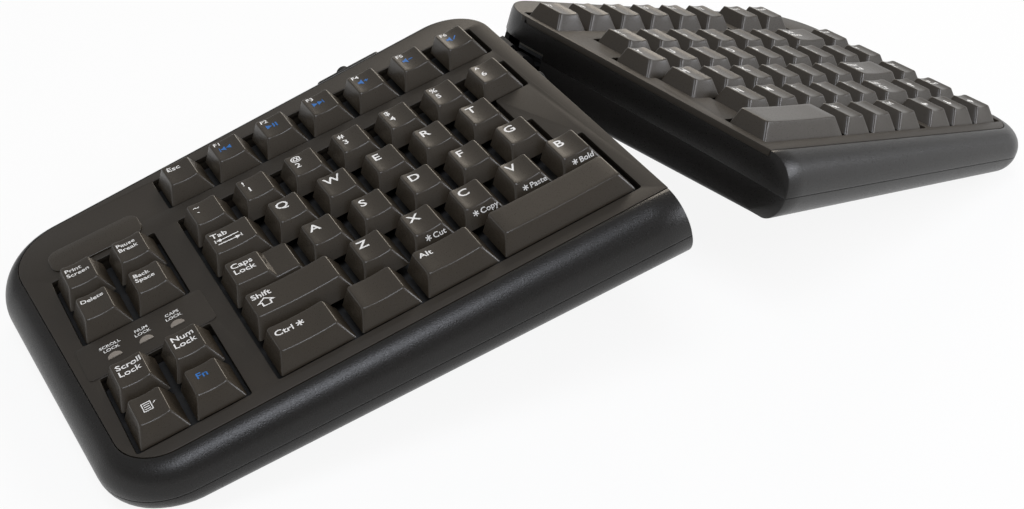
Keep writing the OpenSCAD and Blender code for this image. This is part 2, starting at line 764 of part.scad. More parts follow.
board_depth = 14;
board_t = 1.6;
board_w = 36;
board_d = 19;
board_column = 7.4;
board_gap = 5.4;
board_post_in = 4;
board_post_r = 2.5;
chip = [10, 10, 1.8];
chip_place = [8, 5];
plug = [9, 4, 4];
plug_place = [23, 7];
board_x = left_margin + board_column * key_pitch;
board_y = number_y + key_pitch / 2 + board_gap;
module board_posts()
    for (x = [board_post_in, board_w - board_post_in], y = [board_post_in, board_d - board_post_in])
        translate([board_x + x, board_y + y, -below])
            cylinder(r = board_post_r, h = below - board_depth - board_t);
module on_board(place, size)
    translate([board_x + place[0], board_y + place[1], -board_depth - over / 2])
        cube([size[0], size[1], size[2] + over / 2]);
module controller_board() color(board_green) on_left() {
    translate([board_x, board_y, -board_depth - board_t]) cube([board_w, board_d, board_t]);
    on_board(chip_place, chip);
    on_board(plug_place, plug);
}
module status_windows() color(light_smoke) on_left()
    for (x = light_places) translate([x, light_y, 0]) light(light_r, -light_sink, light_rise);
module label_plate() color(case_black) on_left()
    translate([label_place[0] - label_w / 2, label_place[1] - label_d / 2, 0])
        cube([label_w, label_d, label_t]);
flange_t = 2;
flange_in_t = 1.6;
flange_lip = 1.2;
sleeve_l = 6;
sleeve_lap = 0.5;
sleeve_wide = 0.6;
sleeve_narrow = 0.4;
cable_r = 2.2;
module cable_gland() color(rubber_black) on_left() at_gland() difference() {
    union() {
        along_y(-back_wall - flange_in_t, gland_r, gland_r, back_wall + flange_in_t + boss_out + flange_t / 2);
        along_y(-back_wall - flange_in_t, gland_r + flange_lip, gland_r + flange_lip, flange_in_t);
        along_y(boss_out, gland_r + flange_lip, gland_r + flange_lip, flange_t);
        along_y(boss_out + flange_t - sleeve_lap, gland_r + sleeve_wide, gland_r - sleeve_narrow, sleeve_l);
    }
    along_y(-gland_reach, cable_r, cable_r, 3 * gland_reach);
}
stop_l = 2.6;
stop_front = 3.4;
stop_depth = 6.2;
module inner_stop() color(rubber_black) on_left()
    along_x(-stop_l / 2, number_y - stop_front, -stop_depth, stop_r, stop_l);

// The joint's parts inside the halves stay under the key layers
layers_gap = 0.4;
under_layers = -layers_bottom - layers_gap;
sole_t = 3;
sole_front = 12;
post_x = 5.5;
tail_x = 8;
tail_l = 26;
module hinge_socket() color(steel) on_left() difference() {
    union() {
        translate([-pivot_gap - jaw_reach, pivot_y - jaw_side, pivot_z - jaw_half])
            cube([pivot_gap + jaw_reach + post_x, 2 * jaw_side, 2 * jaw_half]);
        translate([post_x - over, pivot_y - jaw_side, pivot_z - jaw_half])
            cube([tail_x - post_x + 2 * over, 2 * jaw_side, under_layers - pivot_z + jaw_half]);
        intersection() {
            translate([tail_x, pivot_y - tail_half, -below])
                cube([tail_l, 2 * tail_half, below + under_layers]);
            over_floor(left_width, floor_t);
        }
        on_floor(left_width) translate([tail_x, pivot_y + front_reach - sole_front, floor_t])
            cube([tail_l, sole_front + tail_half, sole_t]);
    }
    translate(pivot) ball_seat();
}
// Seat of the ball: a round pocket with a cone above and below that the ball bears on
seat_half = 4.4;
seat_lip = 0.1;
seat_ease = 0.25;
seat_tip = 2.2;
seat_top = ball_r + seat_lip;
function seat_r(z) = sqrt(ball_r * ball_r - z * z) + ball_play;
module ball_seat() {
    cylinder(r = ball_r + ball_play, h = 2 * seat_half, center = true);
    for (s = [0, 1]) mirror([0, 0, s]) translate([0, 0, seat_half - hair])
        cylinder(r1 = seat_r(seat_half) + seat_ease, r2 = seat_tip, h = seat_top - seat_half);
}
arm_in = ball_r + arm_gap;
module hinge_ball() color(steel) at_pivot() {
    sphere(r = ball_r, $fn = 96);
    rotate([90, 0, 0]) cylinder(r = trunnion_r, h = 2 * (arm_in + arm_t), center = true);
}
module hinge_yoke() color(steel) {
    reach = pivot_gap + 19;
    arm_low = 5;
    arm_high = 1.8;
    bridge = 8;
    sole = [16, 26];
    sole_in = 9;
    difference() {
        union() {
            at_pivot() rotate([0, right_tent, 0]) {
                for (s = [-1, 1]) translate([0, s * (arm_in + arm_t / 2), 0]) {
                    rotate([90, 0, 0]) cylinder(r = eye_r, h = arm_t, center = true);
                    translate([0, -arm_t / 2, -arm_low]) cube([reach, arm_t, arm_low + arm_high]);
                }
                translate([reach - bridge, -arm_in - arm_t, -arm_low])
                    cube([bridge, 2 * (arm_in + arm_t), arm_low + arm_high]);
            }
            on_right() on_floor(right_width) translate([sole_in, pivot_y + front_reach - sole[1] / 2, floor_t])
                cube([sole[0], sole[1], sole_t]);
        }
        at_pivot() rotate([90, 0, 0])
            cylinder(r = trunnion_r + trunnion_play, h = 4 * (arm_in + arm_t), center = true);
    }
}
lever_low = 1;
lever_arm = [6, 4.5];
handle_out = 3.4;
handle_t = 3.6;
handle_h = 14.5;
module lock_lever() color(case_black) on_left() difference() {
    union() {
        along_x(lever_x, lever_y - cam_throw, lever_z, cam_r, lever_w);
        translate([lever_x - lever_w / 2, lever_y - lever_low, lever_z - lever_low])
            cube([lever_w, lever_arm[0], lever_arm[1]]);
        translate([lever_x - lever_w / 2, lever_y + handle_out, lever_z - lever_low])
            cube([lever_w, handle_t, handle_h]);
    }
    along_x(lever_x, lever_y, lever_z, lever_pin_r + pin_play, 2 * lever_w);
}
module lever_pin() color(steel) on_left()
    along_x(lever_x, lever_y, lever_z, lever_pin_r, lever_w + 2 * (ear_t + ear_gap));
module clamp_plunger() color(steel) on_left()
    translate([lever_x, tail_back + plunger_gap, lever_z]) rotate([-90, 0, 0])
        cylinder(r = plunger_r, h = cam_face - clamp_play - tail_back - plunger_gap);

module left_function_keys() left_keys("left_function_keys");
module escape_key() left_keys("escape_key");
module left_number_keys() left_keys("left_number_keys");
module left_upper_letter_keys() left_keys("left_upper_letter_keys");
module left_home_letter_keys() left_keys("left_home_letter_keys");
module left_lower_letter_keys() left_keys("left_lower_letter_keys");
module tab_key() left_keys("tab_key");
module caps_lock_key() left_keys("caps_lock_key", caps_shelf);
module left_shift_key() left_keys("left_shift_key");
module left_control_key() left_keys("left_control_key");
module left_system_key() left_keys("left_system_key");
module left_alt_key() left_keys("left_alt_key");
module left_space_bar() left_keys("left_space_bar");
module edit_keys() left_keys("edit_keys");
module lock_keys() left_keys("lock_keys");
module menu_key() left_keys("menu_key");
module fn_key() left_keys("fn_key");
module right_function_keys() right_keys("right_function_keys");
module extra_function_keys() right_keys("extra_function_keys");
module right_number_keys() right_keys("right_number_keys");
module backspace_key() right_keys("backspace_key");
module right_upper_letter_keys() right_keys("right_upper_letter_keys");
module backslash_key() right_keys("backslash_key");
module right_home_letter_keys() right_keys("right_home_letter_keys");
module enter_key() right_keys("enter_key");
module right_lower_letter_keys() right_keys("right_lower_letter_keys");
module right_shift_key() right_keys("right_shift_key");
module right_space_bar() right_keys("right_space_bar");
module right_modifier_keys() right_keys("right_modifier_keys");
module arrow_keys() right_keys("arrow_keys");
module page_keys() right_keys("page_keys");

left_base();
left_rim();
left_deck();
left_key_frame();
left_domes();
left_membrane();
left_back_plate();
left_feet();
left_screws();
right_base();
right_rim();
right_deck();
right_key_frame();
right_domes();
right_membrane();
right_back_plate();
right_feet();
right_screws();
controller_board();
status_windows();
label_plate();
cable_gland();
inner_stop();
hinge_socket();
hinge_ball();
hinge_yoke();
lock_lever();
lever_pin();
clamp_plunger();
left_function_keys();
escape_key();
left_number_keys();
left_upper_letter_keys();
left_home_letter_keys();
left_lower_letter_keys();
tab_key();
caps_lock_key();
left_shift_key();
left_control_key();
left_system_key();
left_alt_key();
left_space_bar();
edit_keys();
lock_keys();
menu_key();
fn_key();
right_function_keys();
extra_function_keys();
right_number_keys();
backspace_key();
right_upper_letter_keys();
backslash_key();
right_home_letter_keys();
enter_key();
right_lower_letter_keys();
right_shift_key();
right_space_bar();
right_modifier_keys();
arrow_keys();
page_keys();
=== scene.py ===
"""Looks of an ergonomic split keyboard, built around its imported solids.

Each half is drawn flat in its own frame, in millimetres: x runs outwards from the inner wall, y to
the back from the home row and z up from the deck. Its pose then puts it in the shared frame, in metres.
"""

from __future__ import annotations

import json
import logging
import math
from collections.abc import Callable
from dataclasses import dataclass, fields
from enum import Enum

import bmesh
import bpy
from bmesh.types import BMesh
from bpy.types import Material, Mesh, Node, NodeSocket, NodeTree, Object
from mathutils import Matrix, Vector
from mathutils.geometry import delaunay_2d_cdt

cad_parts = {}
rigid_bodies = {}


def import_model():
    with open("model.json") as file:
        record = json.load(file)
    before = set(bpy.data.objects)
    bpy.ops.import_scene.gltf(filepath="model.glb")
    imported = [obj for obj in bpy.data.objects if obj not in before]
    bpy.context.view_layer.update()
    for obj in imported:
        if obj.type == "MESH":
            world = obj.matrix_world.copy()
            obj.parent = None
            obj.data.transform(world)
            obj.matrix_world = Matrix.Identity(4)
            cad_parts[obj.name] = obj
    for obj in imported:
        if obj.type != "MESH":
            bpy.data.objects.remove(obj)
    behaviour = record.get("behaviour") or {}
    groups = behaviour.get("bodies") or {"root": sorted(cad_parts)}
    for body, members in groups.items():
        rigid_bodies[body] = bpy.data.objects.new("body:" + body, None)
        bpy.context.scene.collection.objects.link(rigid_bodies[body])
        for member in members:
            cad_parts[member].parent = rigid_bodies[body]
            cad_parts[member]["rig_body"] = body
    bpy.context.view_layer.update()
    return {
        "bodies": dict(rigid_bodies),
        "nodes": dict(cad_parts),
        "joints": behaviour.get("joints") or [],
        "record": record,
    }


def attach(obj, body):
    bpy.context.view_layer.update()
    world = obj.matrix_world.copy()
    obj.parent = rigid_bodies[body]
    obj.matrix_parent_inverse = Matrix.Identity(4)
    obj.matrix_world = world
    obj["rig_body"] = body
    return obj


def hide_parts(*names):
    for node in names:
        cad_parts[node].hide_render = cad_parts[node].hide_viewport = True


log = logging.getLogger("keyboard")

MM = 0.001
Box = tuple[float, float, float, float]
Loop = list[tuple[float, float]]
Ring = list[Vector]
Sockets = bpy.types.bpy_prop_collection


class Row(Enum):
    """Rows of keys, by their distance from the home row in millimetres."""

    FUNCTION = 66.1
    NUMBER = 38.1
    UPPER = 19.05
    HOME = 0.0
    LOWER = -19.05
    BOTTOM = -38.1


class Ink(Enum):
    """Inks that the legends are printed in."""

    WHITE = "white"
    BLUE = "blue"


@dataclass(frozen=True)
class Spot:
    """Place of one word or sign of a legend, in millimetres.

    Attributes:
        height: Height of a capital or of the sign.
        right: Distance to the right of where legends start, or of the end of the word before.
        back: Distance to the back of the top's middle.
        ink: Ink that it is printed in.
        widen: Width of a sign as a share of its height.
        after: Whether it stands after the word before.
        front: Whether it stands on the cap's front instead of the top.
    """

    height: float
    right: float = 0.0
    back: float = 0.0
    ink: Ink = Ink.WHITE
    widen: float = 1.0
    after: bool = False
    front: bool = False


class Layout(Enum):
    """Ways to lay out a legend, as the spots of its words and signs in order."""

    LETTER = (Spot(3.6, 0.1, 0.9),)
    FRONTED = (Spot(3.6, 0.1, 0.9), Spot(1.9, front=True))
    PAIR = (Spot(2.5, 0.0, 2.5), Spot(2.6, 0.5, -1.6))
    WORDS = (Spot(2.4, -0.3, 2.0), Spot(2.4, -0.3, -1.3))
    SMALL = (Spot(1.85, -0.6, 2.3), Spot(1.85, -0.6, -0.4))
    MEDIA = (Spot(1.9, -0.2, 3.5), Spot(4.2, 0.9, -1.6, Ink.BLUE))
    WIDE_SIGN = (Spot(2.4, -0.3, 2.2), Spot(4.6, 0.2, -3.1, widen=1.4))
    TAB_SIGN = (Spot(2.4, -0.3, 2.2), Spot(4.6, 0.2, -3.1, widen=2.0))
    STARRED = (Spot(2.5, -0.3, 0.9), Spot(2.7, 1.1, 0.7, after=True))
    SIGN = (Spot(4.0, 1.525, -1.6),)
    BLUE = (Spot(2.6, 1.0, 0.6, Ink.BLUE),)


def slope(degrees: float) -> float:
    """Rise over run of an angle."""
    return math.tan(math.radians(degrees))


def heading(degrees: float) -> Vector:
    """Plan direction at an angle from x."""
    return Vector((math.cos(math.radians(degrees)), math.sin(math.radians(degrees))))


@dataclass(frozen=True)
class CaseSizes:
    """Sizes that both halves share, in millimetres and degrees, as in the part's source."""

    pitch: float = 19.05
    side_land: float = 4.3
    front_reach: float = 54.025
    back_reach: float = 93.025
    back_skew: float = 4.3
    side_skew: float = 2.6
    roll_in: float = 12.0
    roll_out: float = 9.0
    corner_r: float = 25.0
    back_corner_r: float = 28.0
    inner_corner_r: float = 20.0
    deck_corner_r: float = 20.0
    deck_back: float = 2.2
    deck_slope: float = 2.0
    deck_t: float = 2.5
    seam: float = 0.3
    inner_wall: float = 1.7
    back_wall: float = 2.4
    room_out: float = 4.4
    floor_t: float = 1.8
    floor_depth: float = 23.8
    ledge: float = 2.0
    ledge_t: float = 2.0
    parting: float = 13.0
    roll_sink: float = 0.15
    frame_depth: float = 5.5
    splay: float = 7.0
    pivot_gap: float = 4.0
    pivot_inset: float = 20.0
    pivot_rise: float = 10.0
    pivot_stand: tuple[float, float, float] = (5.65, 52.48, 57.9233)
    window_half: float = 15.5
    window_deep: float = 9.0
    window_play: float = 0.1
    panel_step: float = 0.22
    lever_in: float = 1.5
    lever_drop: float = 2.5
    outer_column: float = 7.5

    @property
    def bend(self) -> float:
        """Bend of the seam line at the outer front corner."""
        return self.corner_r - self.roll_out

    @property
    def pivot_y(self) -> float:
        """Place of the ball joint between the back wall and the home row."""
        return self.back_reach - self.pivot_inset

    @property
    def pivot_z(self) -> float:
        """Height of the ball joint, from the underside at the inner wall."""
        drop = (self.pivot_y + self.front_reach) * slope(self.deck_slope)
        return self.pivot_rise - self.floor_depth - drop

    def back_y(self, x: float) -> float:
        """Back wall at a distance from the inner wall."""
        return self.back_reach - x * slope(self.back_skew)


CASE = CaseSizes()


@dataclass(frozen=True)
class KeyRun:
    """Keys side by side in one row.

    Attributes:
        row: Row that the keys stand in.
        start: Place of the first key, in pitches from the innermost column.
        layout: How the legends are laid out.
        legends: Words and signs on each key, from the inner wall outwards. Signs are in small letters.
        width: Width of each key, in pitches.
    """

    row: Row
    start: float
    layout: Layout
    legends: tuple[str, ...]
    width: float = 1.0


@dataclass(frozen=True)
class HalfPlan:
    """Plan and standing pose of one half.

    Attributes:
        name: Prefix of the half's nodes.
        side: 1 where the reader's right is outwards, -1 on the mirrored half.
        margin: Land between the inner wall and the innermost keys.
        columns: Width of the key field, in pitches.
        lean: Tent angle of the half, in degrees.
        groups: Key runs by the node that holds them.
    """

    name: str
    side: int
    margin: float
    columns: float
    lean: float
    groups: dict[str, tuple[KeyRun, ...]]

    @property
    def body(self) -> str:
        """Name of the body that the half's case belongs to."""
        return f"{self.name}_half"

    @property
    def width(self) -> float:
        """Reach of the half from its inner wall."""
        return self.margin + self.columns * CASE.pitch + CASE.side_land + CASE.roll_out

    @property
    def corner_x(self) -> float:
        """Where the front roll starts to bend into the side."""
        side = self.side_x(CASE.bend - CASE.front_reach)
        return side - CASE.bend / math.cos(math.radians(CASE.side_skew))

    @property
    def taper(self) -> float:
        """Loss of the roll's radius for each millimetre outwards."""
        return (CASE.roll_in - CASE.roll_out) / self.corner_x

    def side_x(self, y: float) -> float:
        """Seam line along the outer side."""
        return self.width - CASE.roll_out + (y + CASE.front_reach) * slope(CASE.side_skew)

    def roll(self, x: float) -> float:
        """Radius of the rolled edge at a place along the front."""
        return CASE.roll_in - self.taper * min(max(x, 0.0), self.corner_x)

    def floor_z(self, p: Vector) -> float:
        """Height of the underside at a plan point."""
        return -CASE.floor_depth + 2 * self.taper * p.x - (p.y + CASE.front_reach) * slope(CASE.deck_slope)

    def parting_z(self, p: Vector) -> float:
        """Height of the parting line at a plan point."""
        return -CASE.parting + self.taper * p.x

    def back_corner(self, side: float, back: float) -> Vector:
        """Find where a line along the side meets a line along the back.

        Args:
            side: Where the first line starts at the front.
            back: Where the second one starts at the inner wall.

        Returns:
            Their meeting point.
        """
        lean_s, lean_b = slope(CASE.side_skew), slope(CASE.back_skew)
        x = (side + (back + CASE.front_reach) * lean_s) / (1 + lean_b * lean_s)
        return Vector((x, back - x * lean_b))

    def pose(self) -> Matrix:
        """Work out the half's standing pose.

        Returns:
            Matrix from the half's flat frame in millimetres to the shared frame in metres.
        """
        turn = Matrix.Identity(4)
        for angle, axis in ((CASE.splay, "Z"), (self.lean, "Y"), (CASE.deck_slope, "X")):
            turn = turn @ Matrix.Rotation(math.radians(angle), 4, axis)
        flip = Matrix.Diagonal((self.side, 1, 1, 1))
        stand = Matrix.Translation(CASE.pivot_stand)
        to_pivot = Matrix.Translation((CASE.pivot_gap, -CASE.pivot_y, -CASE.pivot_z))
        return Matrix.Scale(MM, 4) @ stand @ flip @ turn @ to_pivot

    def runs(self) -> list[KeyRun]:
        """All key runs of the half."""
        return [run for group in self.groups.values() for run in group]

    def key_x(self, run: KeyRun, index: int) -> float:
        """Middle of a key, measured from the inner wall."""
        return self.margin + (run.start + (index + 0.5) * run.width) * CASE.pitch


def keys(row: Row, start: float, layout: Layout, *legends: str, width: float = 1.0) -> KeyRun:
    """Short form for a key run, one legend for each key."""
    return KeyRun(row, start, layout, legends, width)


OUTER = CASE.outer_column
LEFT = HalfPlan(name="left", side=-1, margin=6.7, columns=9.5, lean=15.5288, groups={
    "left_function_keys": (keys(Row.FUNCTION, 0, Layout.MEDIA, "F6 mute", "F5 soft", "F4 loud", "F3 next",
                                "F2 play", "F1 back"),),
    "escape_key": (keys(Row.FUNCTION, 6, Layout.WORDS, "Esc"),),
    "left_number_keys": (keys(Row.NUMBER, 0, Layout.PAIR, "^ 6", "% 5", "$ 4", "# 3", "@ 2", "! 1", "~ `"),),
    "left_upper_letter_keys": (keys(Row.UPPER, 0.75, Layout.LETTER, *"TREWQ"),),
    "tab_key": (keys(Row.UPPER, 5.75, Layout.TAB_SIGN, "Tab tab", width=1.25),),
    "left_home_letter_keys": (keys(Row.HOME, 0.5, Layout.LETTER, *"GFDSA"),),
    "caps_lock_key": (keys(Row.HOME, 5.5, Layout.WORDS, "Caps Lock", width=1.5),),
    "left_lower_letter_keys": (keys(Row.LOWER, 0, Layout.FRONTED, "B Bold", "V Paste", "C Copy", "X Cut",
                                    "Z"),),
    "left_shift_key": (keys(Row.LOWER, 5, Layout.WIDE_SIGN, "Shift shift", width=2),),
    "left_space_bar": (keys(Row.BOTTOM, 0, Layout.LETTER, "", width=2.75),),
    "left_alt_key": (keys(Row.BOTTOM, 2.75, Layout.WORDS, "Alt", width=1.5),),
    "left_system_key": (keys(Row.BOTTOM, 4.25, Layout.LETTER, "", width=1.25),),
    "left_control_key": (keys(Row.BOTTOM, 5.5, Layout.STARRED, "Ctrl star", width=1.5),),
    "edit_keys": (keys(Row.NUMBER, OUTER, Layout.SMALL, "Pause Break", "Print Screen"),
                  keys(Row.UPPER, OUTER, Layout.SMALL, "Back Space", "Delete")),
    "lock_keys": (keys(Row.LOWER, OUTER, Layout.WORDS, "Num Lock", "Scroll Lock"),),
    "menu_key": (keys(Row.BOTTOM, OUTER + 1, Layout.SIGN, "menu"),),
    "fn_key": (keys(Row.BOTTOM, OUTER, Layout.BLUE, "Fn"),),
})

RIGHT = HalfPlan(name="right", side=1, margin=5.2, columns=9.0, lean=16.4712, groups={
    "right_function_keys": (keys(Row.FUNCTION, -0.1, Layout.WORDS, "F7", "F8", "F9", "F10", "F11", "F12"),),
    "extra_function_keys": (keys(Row.FUNCTION, 6.25, Layout.SMALL, "Insert", "Delete"),),
    "right_number_keys": (keys(Row.NUMBER, 0.5, Layout.PAIR, "& 7", "* 8", "( 9", ") 0", "_ -", "+ ="),),
    "backspace_key": (keys(Row.NUMBER, 6.5, Layout.WORDS, "Back Space", width=1.5),),
    "right_upper_letter_keys": (keys(Row.UPPER, 0, Layout.LETTER, *"YUIOP"),
                                keys(Row.UPPER, 5, Layout.PAIR, "{ [", "} ]")),
    "backslash_key": (keys(Row.UPPER, 7, Layout.PAIR, "| \\"),),
    "right_home_letter_keys": (keys(Row.HOME, 0.25, Layout.LETTER, *"HJKL"),
                               keys(Row.HOME, 4.25, Layout.PAIR, ": ;", "\" '")),
    "enter_key": (keys(Row.HOME, 6.25, Layout.WIDE_SIGN, "Enter enter", width=1.75),),
    "right_lower_letter_keys": (keys(Row.LOWER, 0.75, Layout.LETTER, *"NM"),
                                keys(Row.LOWER, 2.75, Layout.PAIR, "< ,", "> .", "? /")),
    "right_shift_key": (keys(Row.LOWER, 5.75, Layout.WIDE_SIGN, "Shift shift", width=1.25),),
    "right_space_bar": (keys(Row.BOTTOM, 0, Layout.LETTER, "", width=2.75),),
    "right_modifier_keys": (keys(Row.BOTTOM, 2.75, Layout.WORDS, "Alt", "", "Ctrl"),),
    "arrow_keys": (keys(Row.LOWER, 7, Layout.SIGN, "up"),
                   keys(Row.BOTTOM, 6, Layout.SIGN, "left", "down", "right")),
    "page_keys": (keys(Row.NUMBER, 8, Layout.SMALL, "Home"), keys(Row.UPPER, 8, Layout.SMALL, "End"),
                  keys(Row.HOME, 8, Layout.SMALL, "Page Up"), keys(Row.LOWER, 8, Layout.SMALL, "Page Down")),
})


def linear(code: str) -> tuple[float, float, float, float]:
    """Turn an sRGB hex colour into a linear one.

    Args:
        code: Colour as written, such as "#2a2825".

    Returns:
        Red, green, blue and alpha, linear.
    """
    parts = [int(code[i:i + 2], 16) / 255 for i in (1, 3, 5)]
    red, green, blue = (v / 12.92 if v <= 0.04045 else ((v + 0.055) / 1.055) ** 2.4 for v in parts)
    return (red, green, blue, 1.0)


def wire(tree: NodeTree, node: Node, inputs: dict) -> None:
    """Set or link a node's inputs.

    Args:
        tree: Tree that the node is in.
        node: Node to wire.
        inputs: A value, an output socket or a list of these sockets, by input name or number.
    """
    for name, value in inputs.items():
        if isinstance(value, (list, NodeSocket)):
            for source in value if isinstance(value, list) else [value]:
                tree.links.new(source, node.inputs[name])
        else:
            node.inputs[name].default_value = value


def add_node(tree: NodeTree, kind: str, inputs: dict | None = None, **settings: object) -> Sockets:
    """Add a node with its settings and wire its inputs.

    Args:
        tree: Tree that takes the node.
        kind: Blender's name for the node type.
        inputs: What the node's inputs get, as in wire.
        settings: Properties of the node.

    Returns:
        The node's outputs.
    """
    node = tree.nodes.new(kind)
    for name, value in settings.items():
        setattr(node, name, value)
    wire(tree, node, inputs or {})
    return node.outputs


def noise(tree: NodeTree, place: NodeSocket, size: float,
          detail: float) -> NodeSocket:
    """Noise with a grain of a size in millimetres."""
    inputs = {"Vector": place, "Scale": 1 / (size * MM), "Detail": detail}
    return add_node(tree, "ShaderNodeTexNoise", inputs)["Fac"]


def uneven(tree: NodeTree, value: NodeSocket, middle: float,
           swing: float) -> NodeSocket:
    """Roughness that follows a noise about a middle value."""
    inputs = {"Value": value, "From Min": 0.3, "From Max": 0.7, "To Min": middle - swing,
              "To Max": middle + swing}
    return add_node(tree, "ShaderNodeMapRange", inputs)["Result"]


def new_material(name: str) -> tuple[Material, NodeTree, Node]:
    """Start a material.

    Args:
        name: Name of the material.

    Returns:
        The material, its tree and its shader.
    """
    material = bpy.data.materials.new(name)
    material.use_nodes = True
    return material, material.node_tree, material.node_tree.nodes["Principled BSDF"]


@dataclass(frozen=True)
class Moulded:
    """Moulded plastic or rubber with a fine spark-eroded grain.

    Attributes:
        name: Common name of the material and how its surface was made.
        colour: Colour of the flats.
        tint: Colour of the faint cloudy patches.
        roughness: Roughness of the flats.
        grit: Size of the grain, in millimetres.
        depth: Depth of the grain, in millimetres.
        ior: Index of refraction.
        cloud: Size of the cloudy patches, in millimetres.
        shine: Share of the mirror-like reflection that the skin leaves.
        swing: How far the roughness swings with the grain.
    """

    name: str
    colour: str
    tint: str
    roughness: float
    grit: float
    depth: float
    ior: float = 1.5
    cloud: float = 24.0
    shine: float = 0.5
    swing: float = 0.07

    def make(self) -> Material:
        """Build the material.

        Returns:
            The material.
        """
        material, tree, shader = new_material(self.name)
        place = add_node(tree, "ShaderNodeTexCoord")["Object"]
        cloud = noise(tree, place, self.cloud, 3.0)
        grain = noise(tree, place, self.grit, 2.0)
        colours = {0: cloud, 6: linear(self.colour), 7: linear(self.tint)}
        bump = {"Height": grain, "Distance": self.depth * MM, "Strength": 1.0}
        wire(tree, shader, {
            "IOR": self.ior,
            "Specular IOR Level": self.shine,
            "Base Color": add_node(tree, "ShaderNodeMix", colours, data_type="RGBA")[2],
            "Roughness": uneven(tree, grain, self.roughness, self.swing),
            "Normal": add_node(tree, "ShaderNodeBump", bump)["Normal"],
        })
        return material


@dataclass(frozen=True)
class Metal:
    """Bare or plated steel with fine rolling lines.

    Attributes:
        name: Common name of the metal and how its surface was made.
        colour: Colour of the flats.
        roughness: Roughness of the flats.
        line: Spacing of the lines, in millimetres.
        depth: Depth of the lines, in millimetres.
        stretch: Spacing across the lines as a share of their length.
        swing: How far the roughness swings with the lines.
    """

    name: str
    colour: str
    roughness: float
    line: float
    depth: float = 0.01
    stretch: float = 0.08
    swing: float = 0.08

    def make(self) -> Material:
        """Build the material.

        Returns:
            The material.
        """
        material, tree, shader = new_material(self.name)
        place = add_node(tree, "ShaderNodeTexCoord")["Object"]
        drawn = {"Vector": place, "Scale": (self.stretch, 1.0, 1.0)}
        lines = noise(tree, add_node(tree, "ShaderNodeMapping", drawn)["Vector"], self.line, 3.0)
        bump = {"Height": lines, "Distance": self.depth * MM}
        wire(tree, shader, {
            "Base Color": linear(self.colour),
            "Metallic": 1.0,
            "Roughness": uneven(tree, lines, self.roughness, self.swing),
            "Normal": add_node(tree, "ShaderNodeBump", bump)["Normal"],
        })
        return material


@dataclass(frozen=True)
class Finishes:
    """Every finish on the keyboard."""

    # Black ABS with a spark-eroded skin: soft broad highlights that sparkle a little
    shell: Moulded = Moulded("ABS moulded fine grain", "#161514", "#1c1a18", 0.33, 0.45, 0.070, shine=0.35)
    # The same ABS with a duller skin on the flat deck
    deck: Moulded = Moulded("ABS moulded matte", "#29241d", "#2e2820", 0.50, 0.40, 0.014, shine=0.40)
    # Keycaps, polished a little by use
    key: Moulded = Moulded("ABS keycap satin", "#302a21", "#352e25", 0.33, 0.30, 0.004, cloud=12.0)
    # Acetal frame deep in the key wells
    carrier: Moulded = Moulded("acetal moulded dull", "#0b0b0b", "#0e0e0e", 0.60, 0.50, 0.010)
    # Feet, grommet and stop
    rubber: Moulded = Moulded("rubber moulded", "#131313", "#1a1a19", 0.75, 0.60, 0.020)
    # Milky dome sheet
    silicone: Moulded = Moulded("silicone moulded", "#c4c1b7", "#cfcbc1", 0.60, 0.80, 0.010, ior=1.41)
    # Contact film
    film: Moulded = Moulded("polyester film", "#8f9499", "#989da2", 0.25, 1.20, 0.004, ior=1.6)
    # Glass-fibre circuit board under green lacquer
    board: Moulded = Moulded("circuit board lacquered", "#1d5237", "#225c3e", 0.35, 0.70, 0.010)
    # Smoked lamp windows
    light: Moulded = Moulded("smoked polystyrene", "#857c72", "#8f877c", 0.40, 0.50, 0.006, ior=1.59)
    # Pad-printed legends, slightly raised and dull
    white_ink: Moulded = Moulded("white pad print", "#e9e7e2", "#f1efea", 0.55, 0.25, 0.003)
    blue_ink: Moulded = Moulded("blue pad print", "#2465a8", "#2b70b6", 0.55, 0.25, 0.003)
    # Zinc-plated plates, and a blackened joint and screws
    zinc: Metal = Metal("steel zinc plated", "#a9acb0", 0.38, 0.25)
    black_steel: Metal = Metal("steel blackened", "#3a3a3c", 0.42, 0.20)


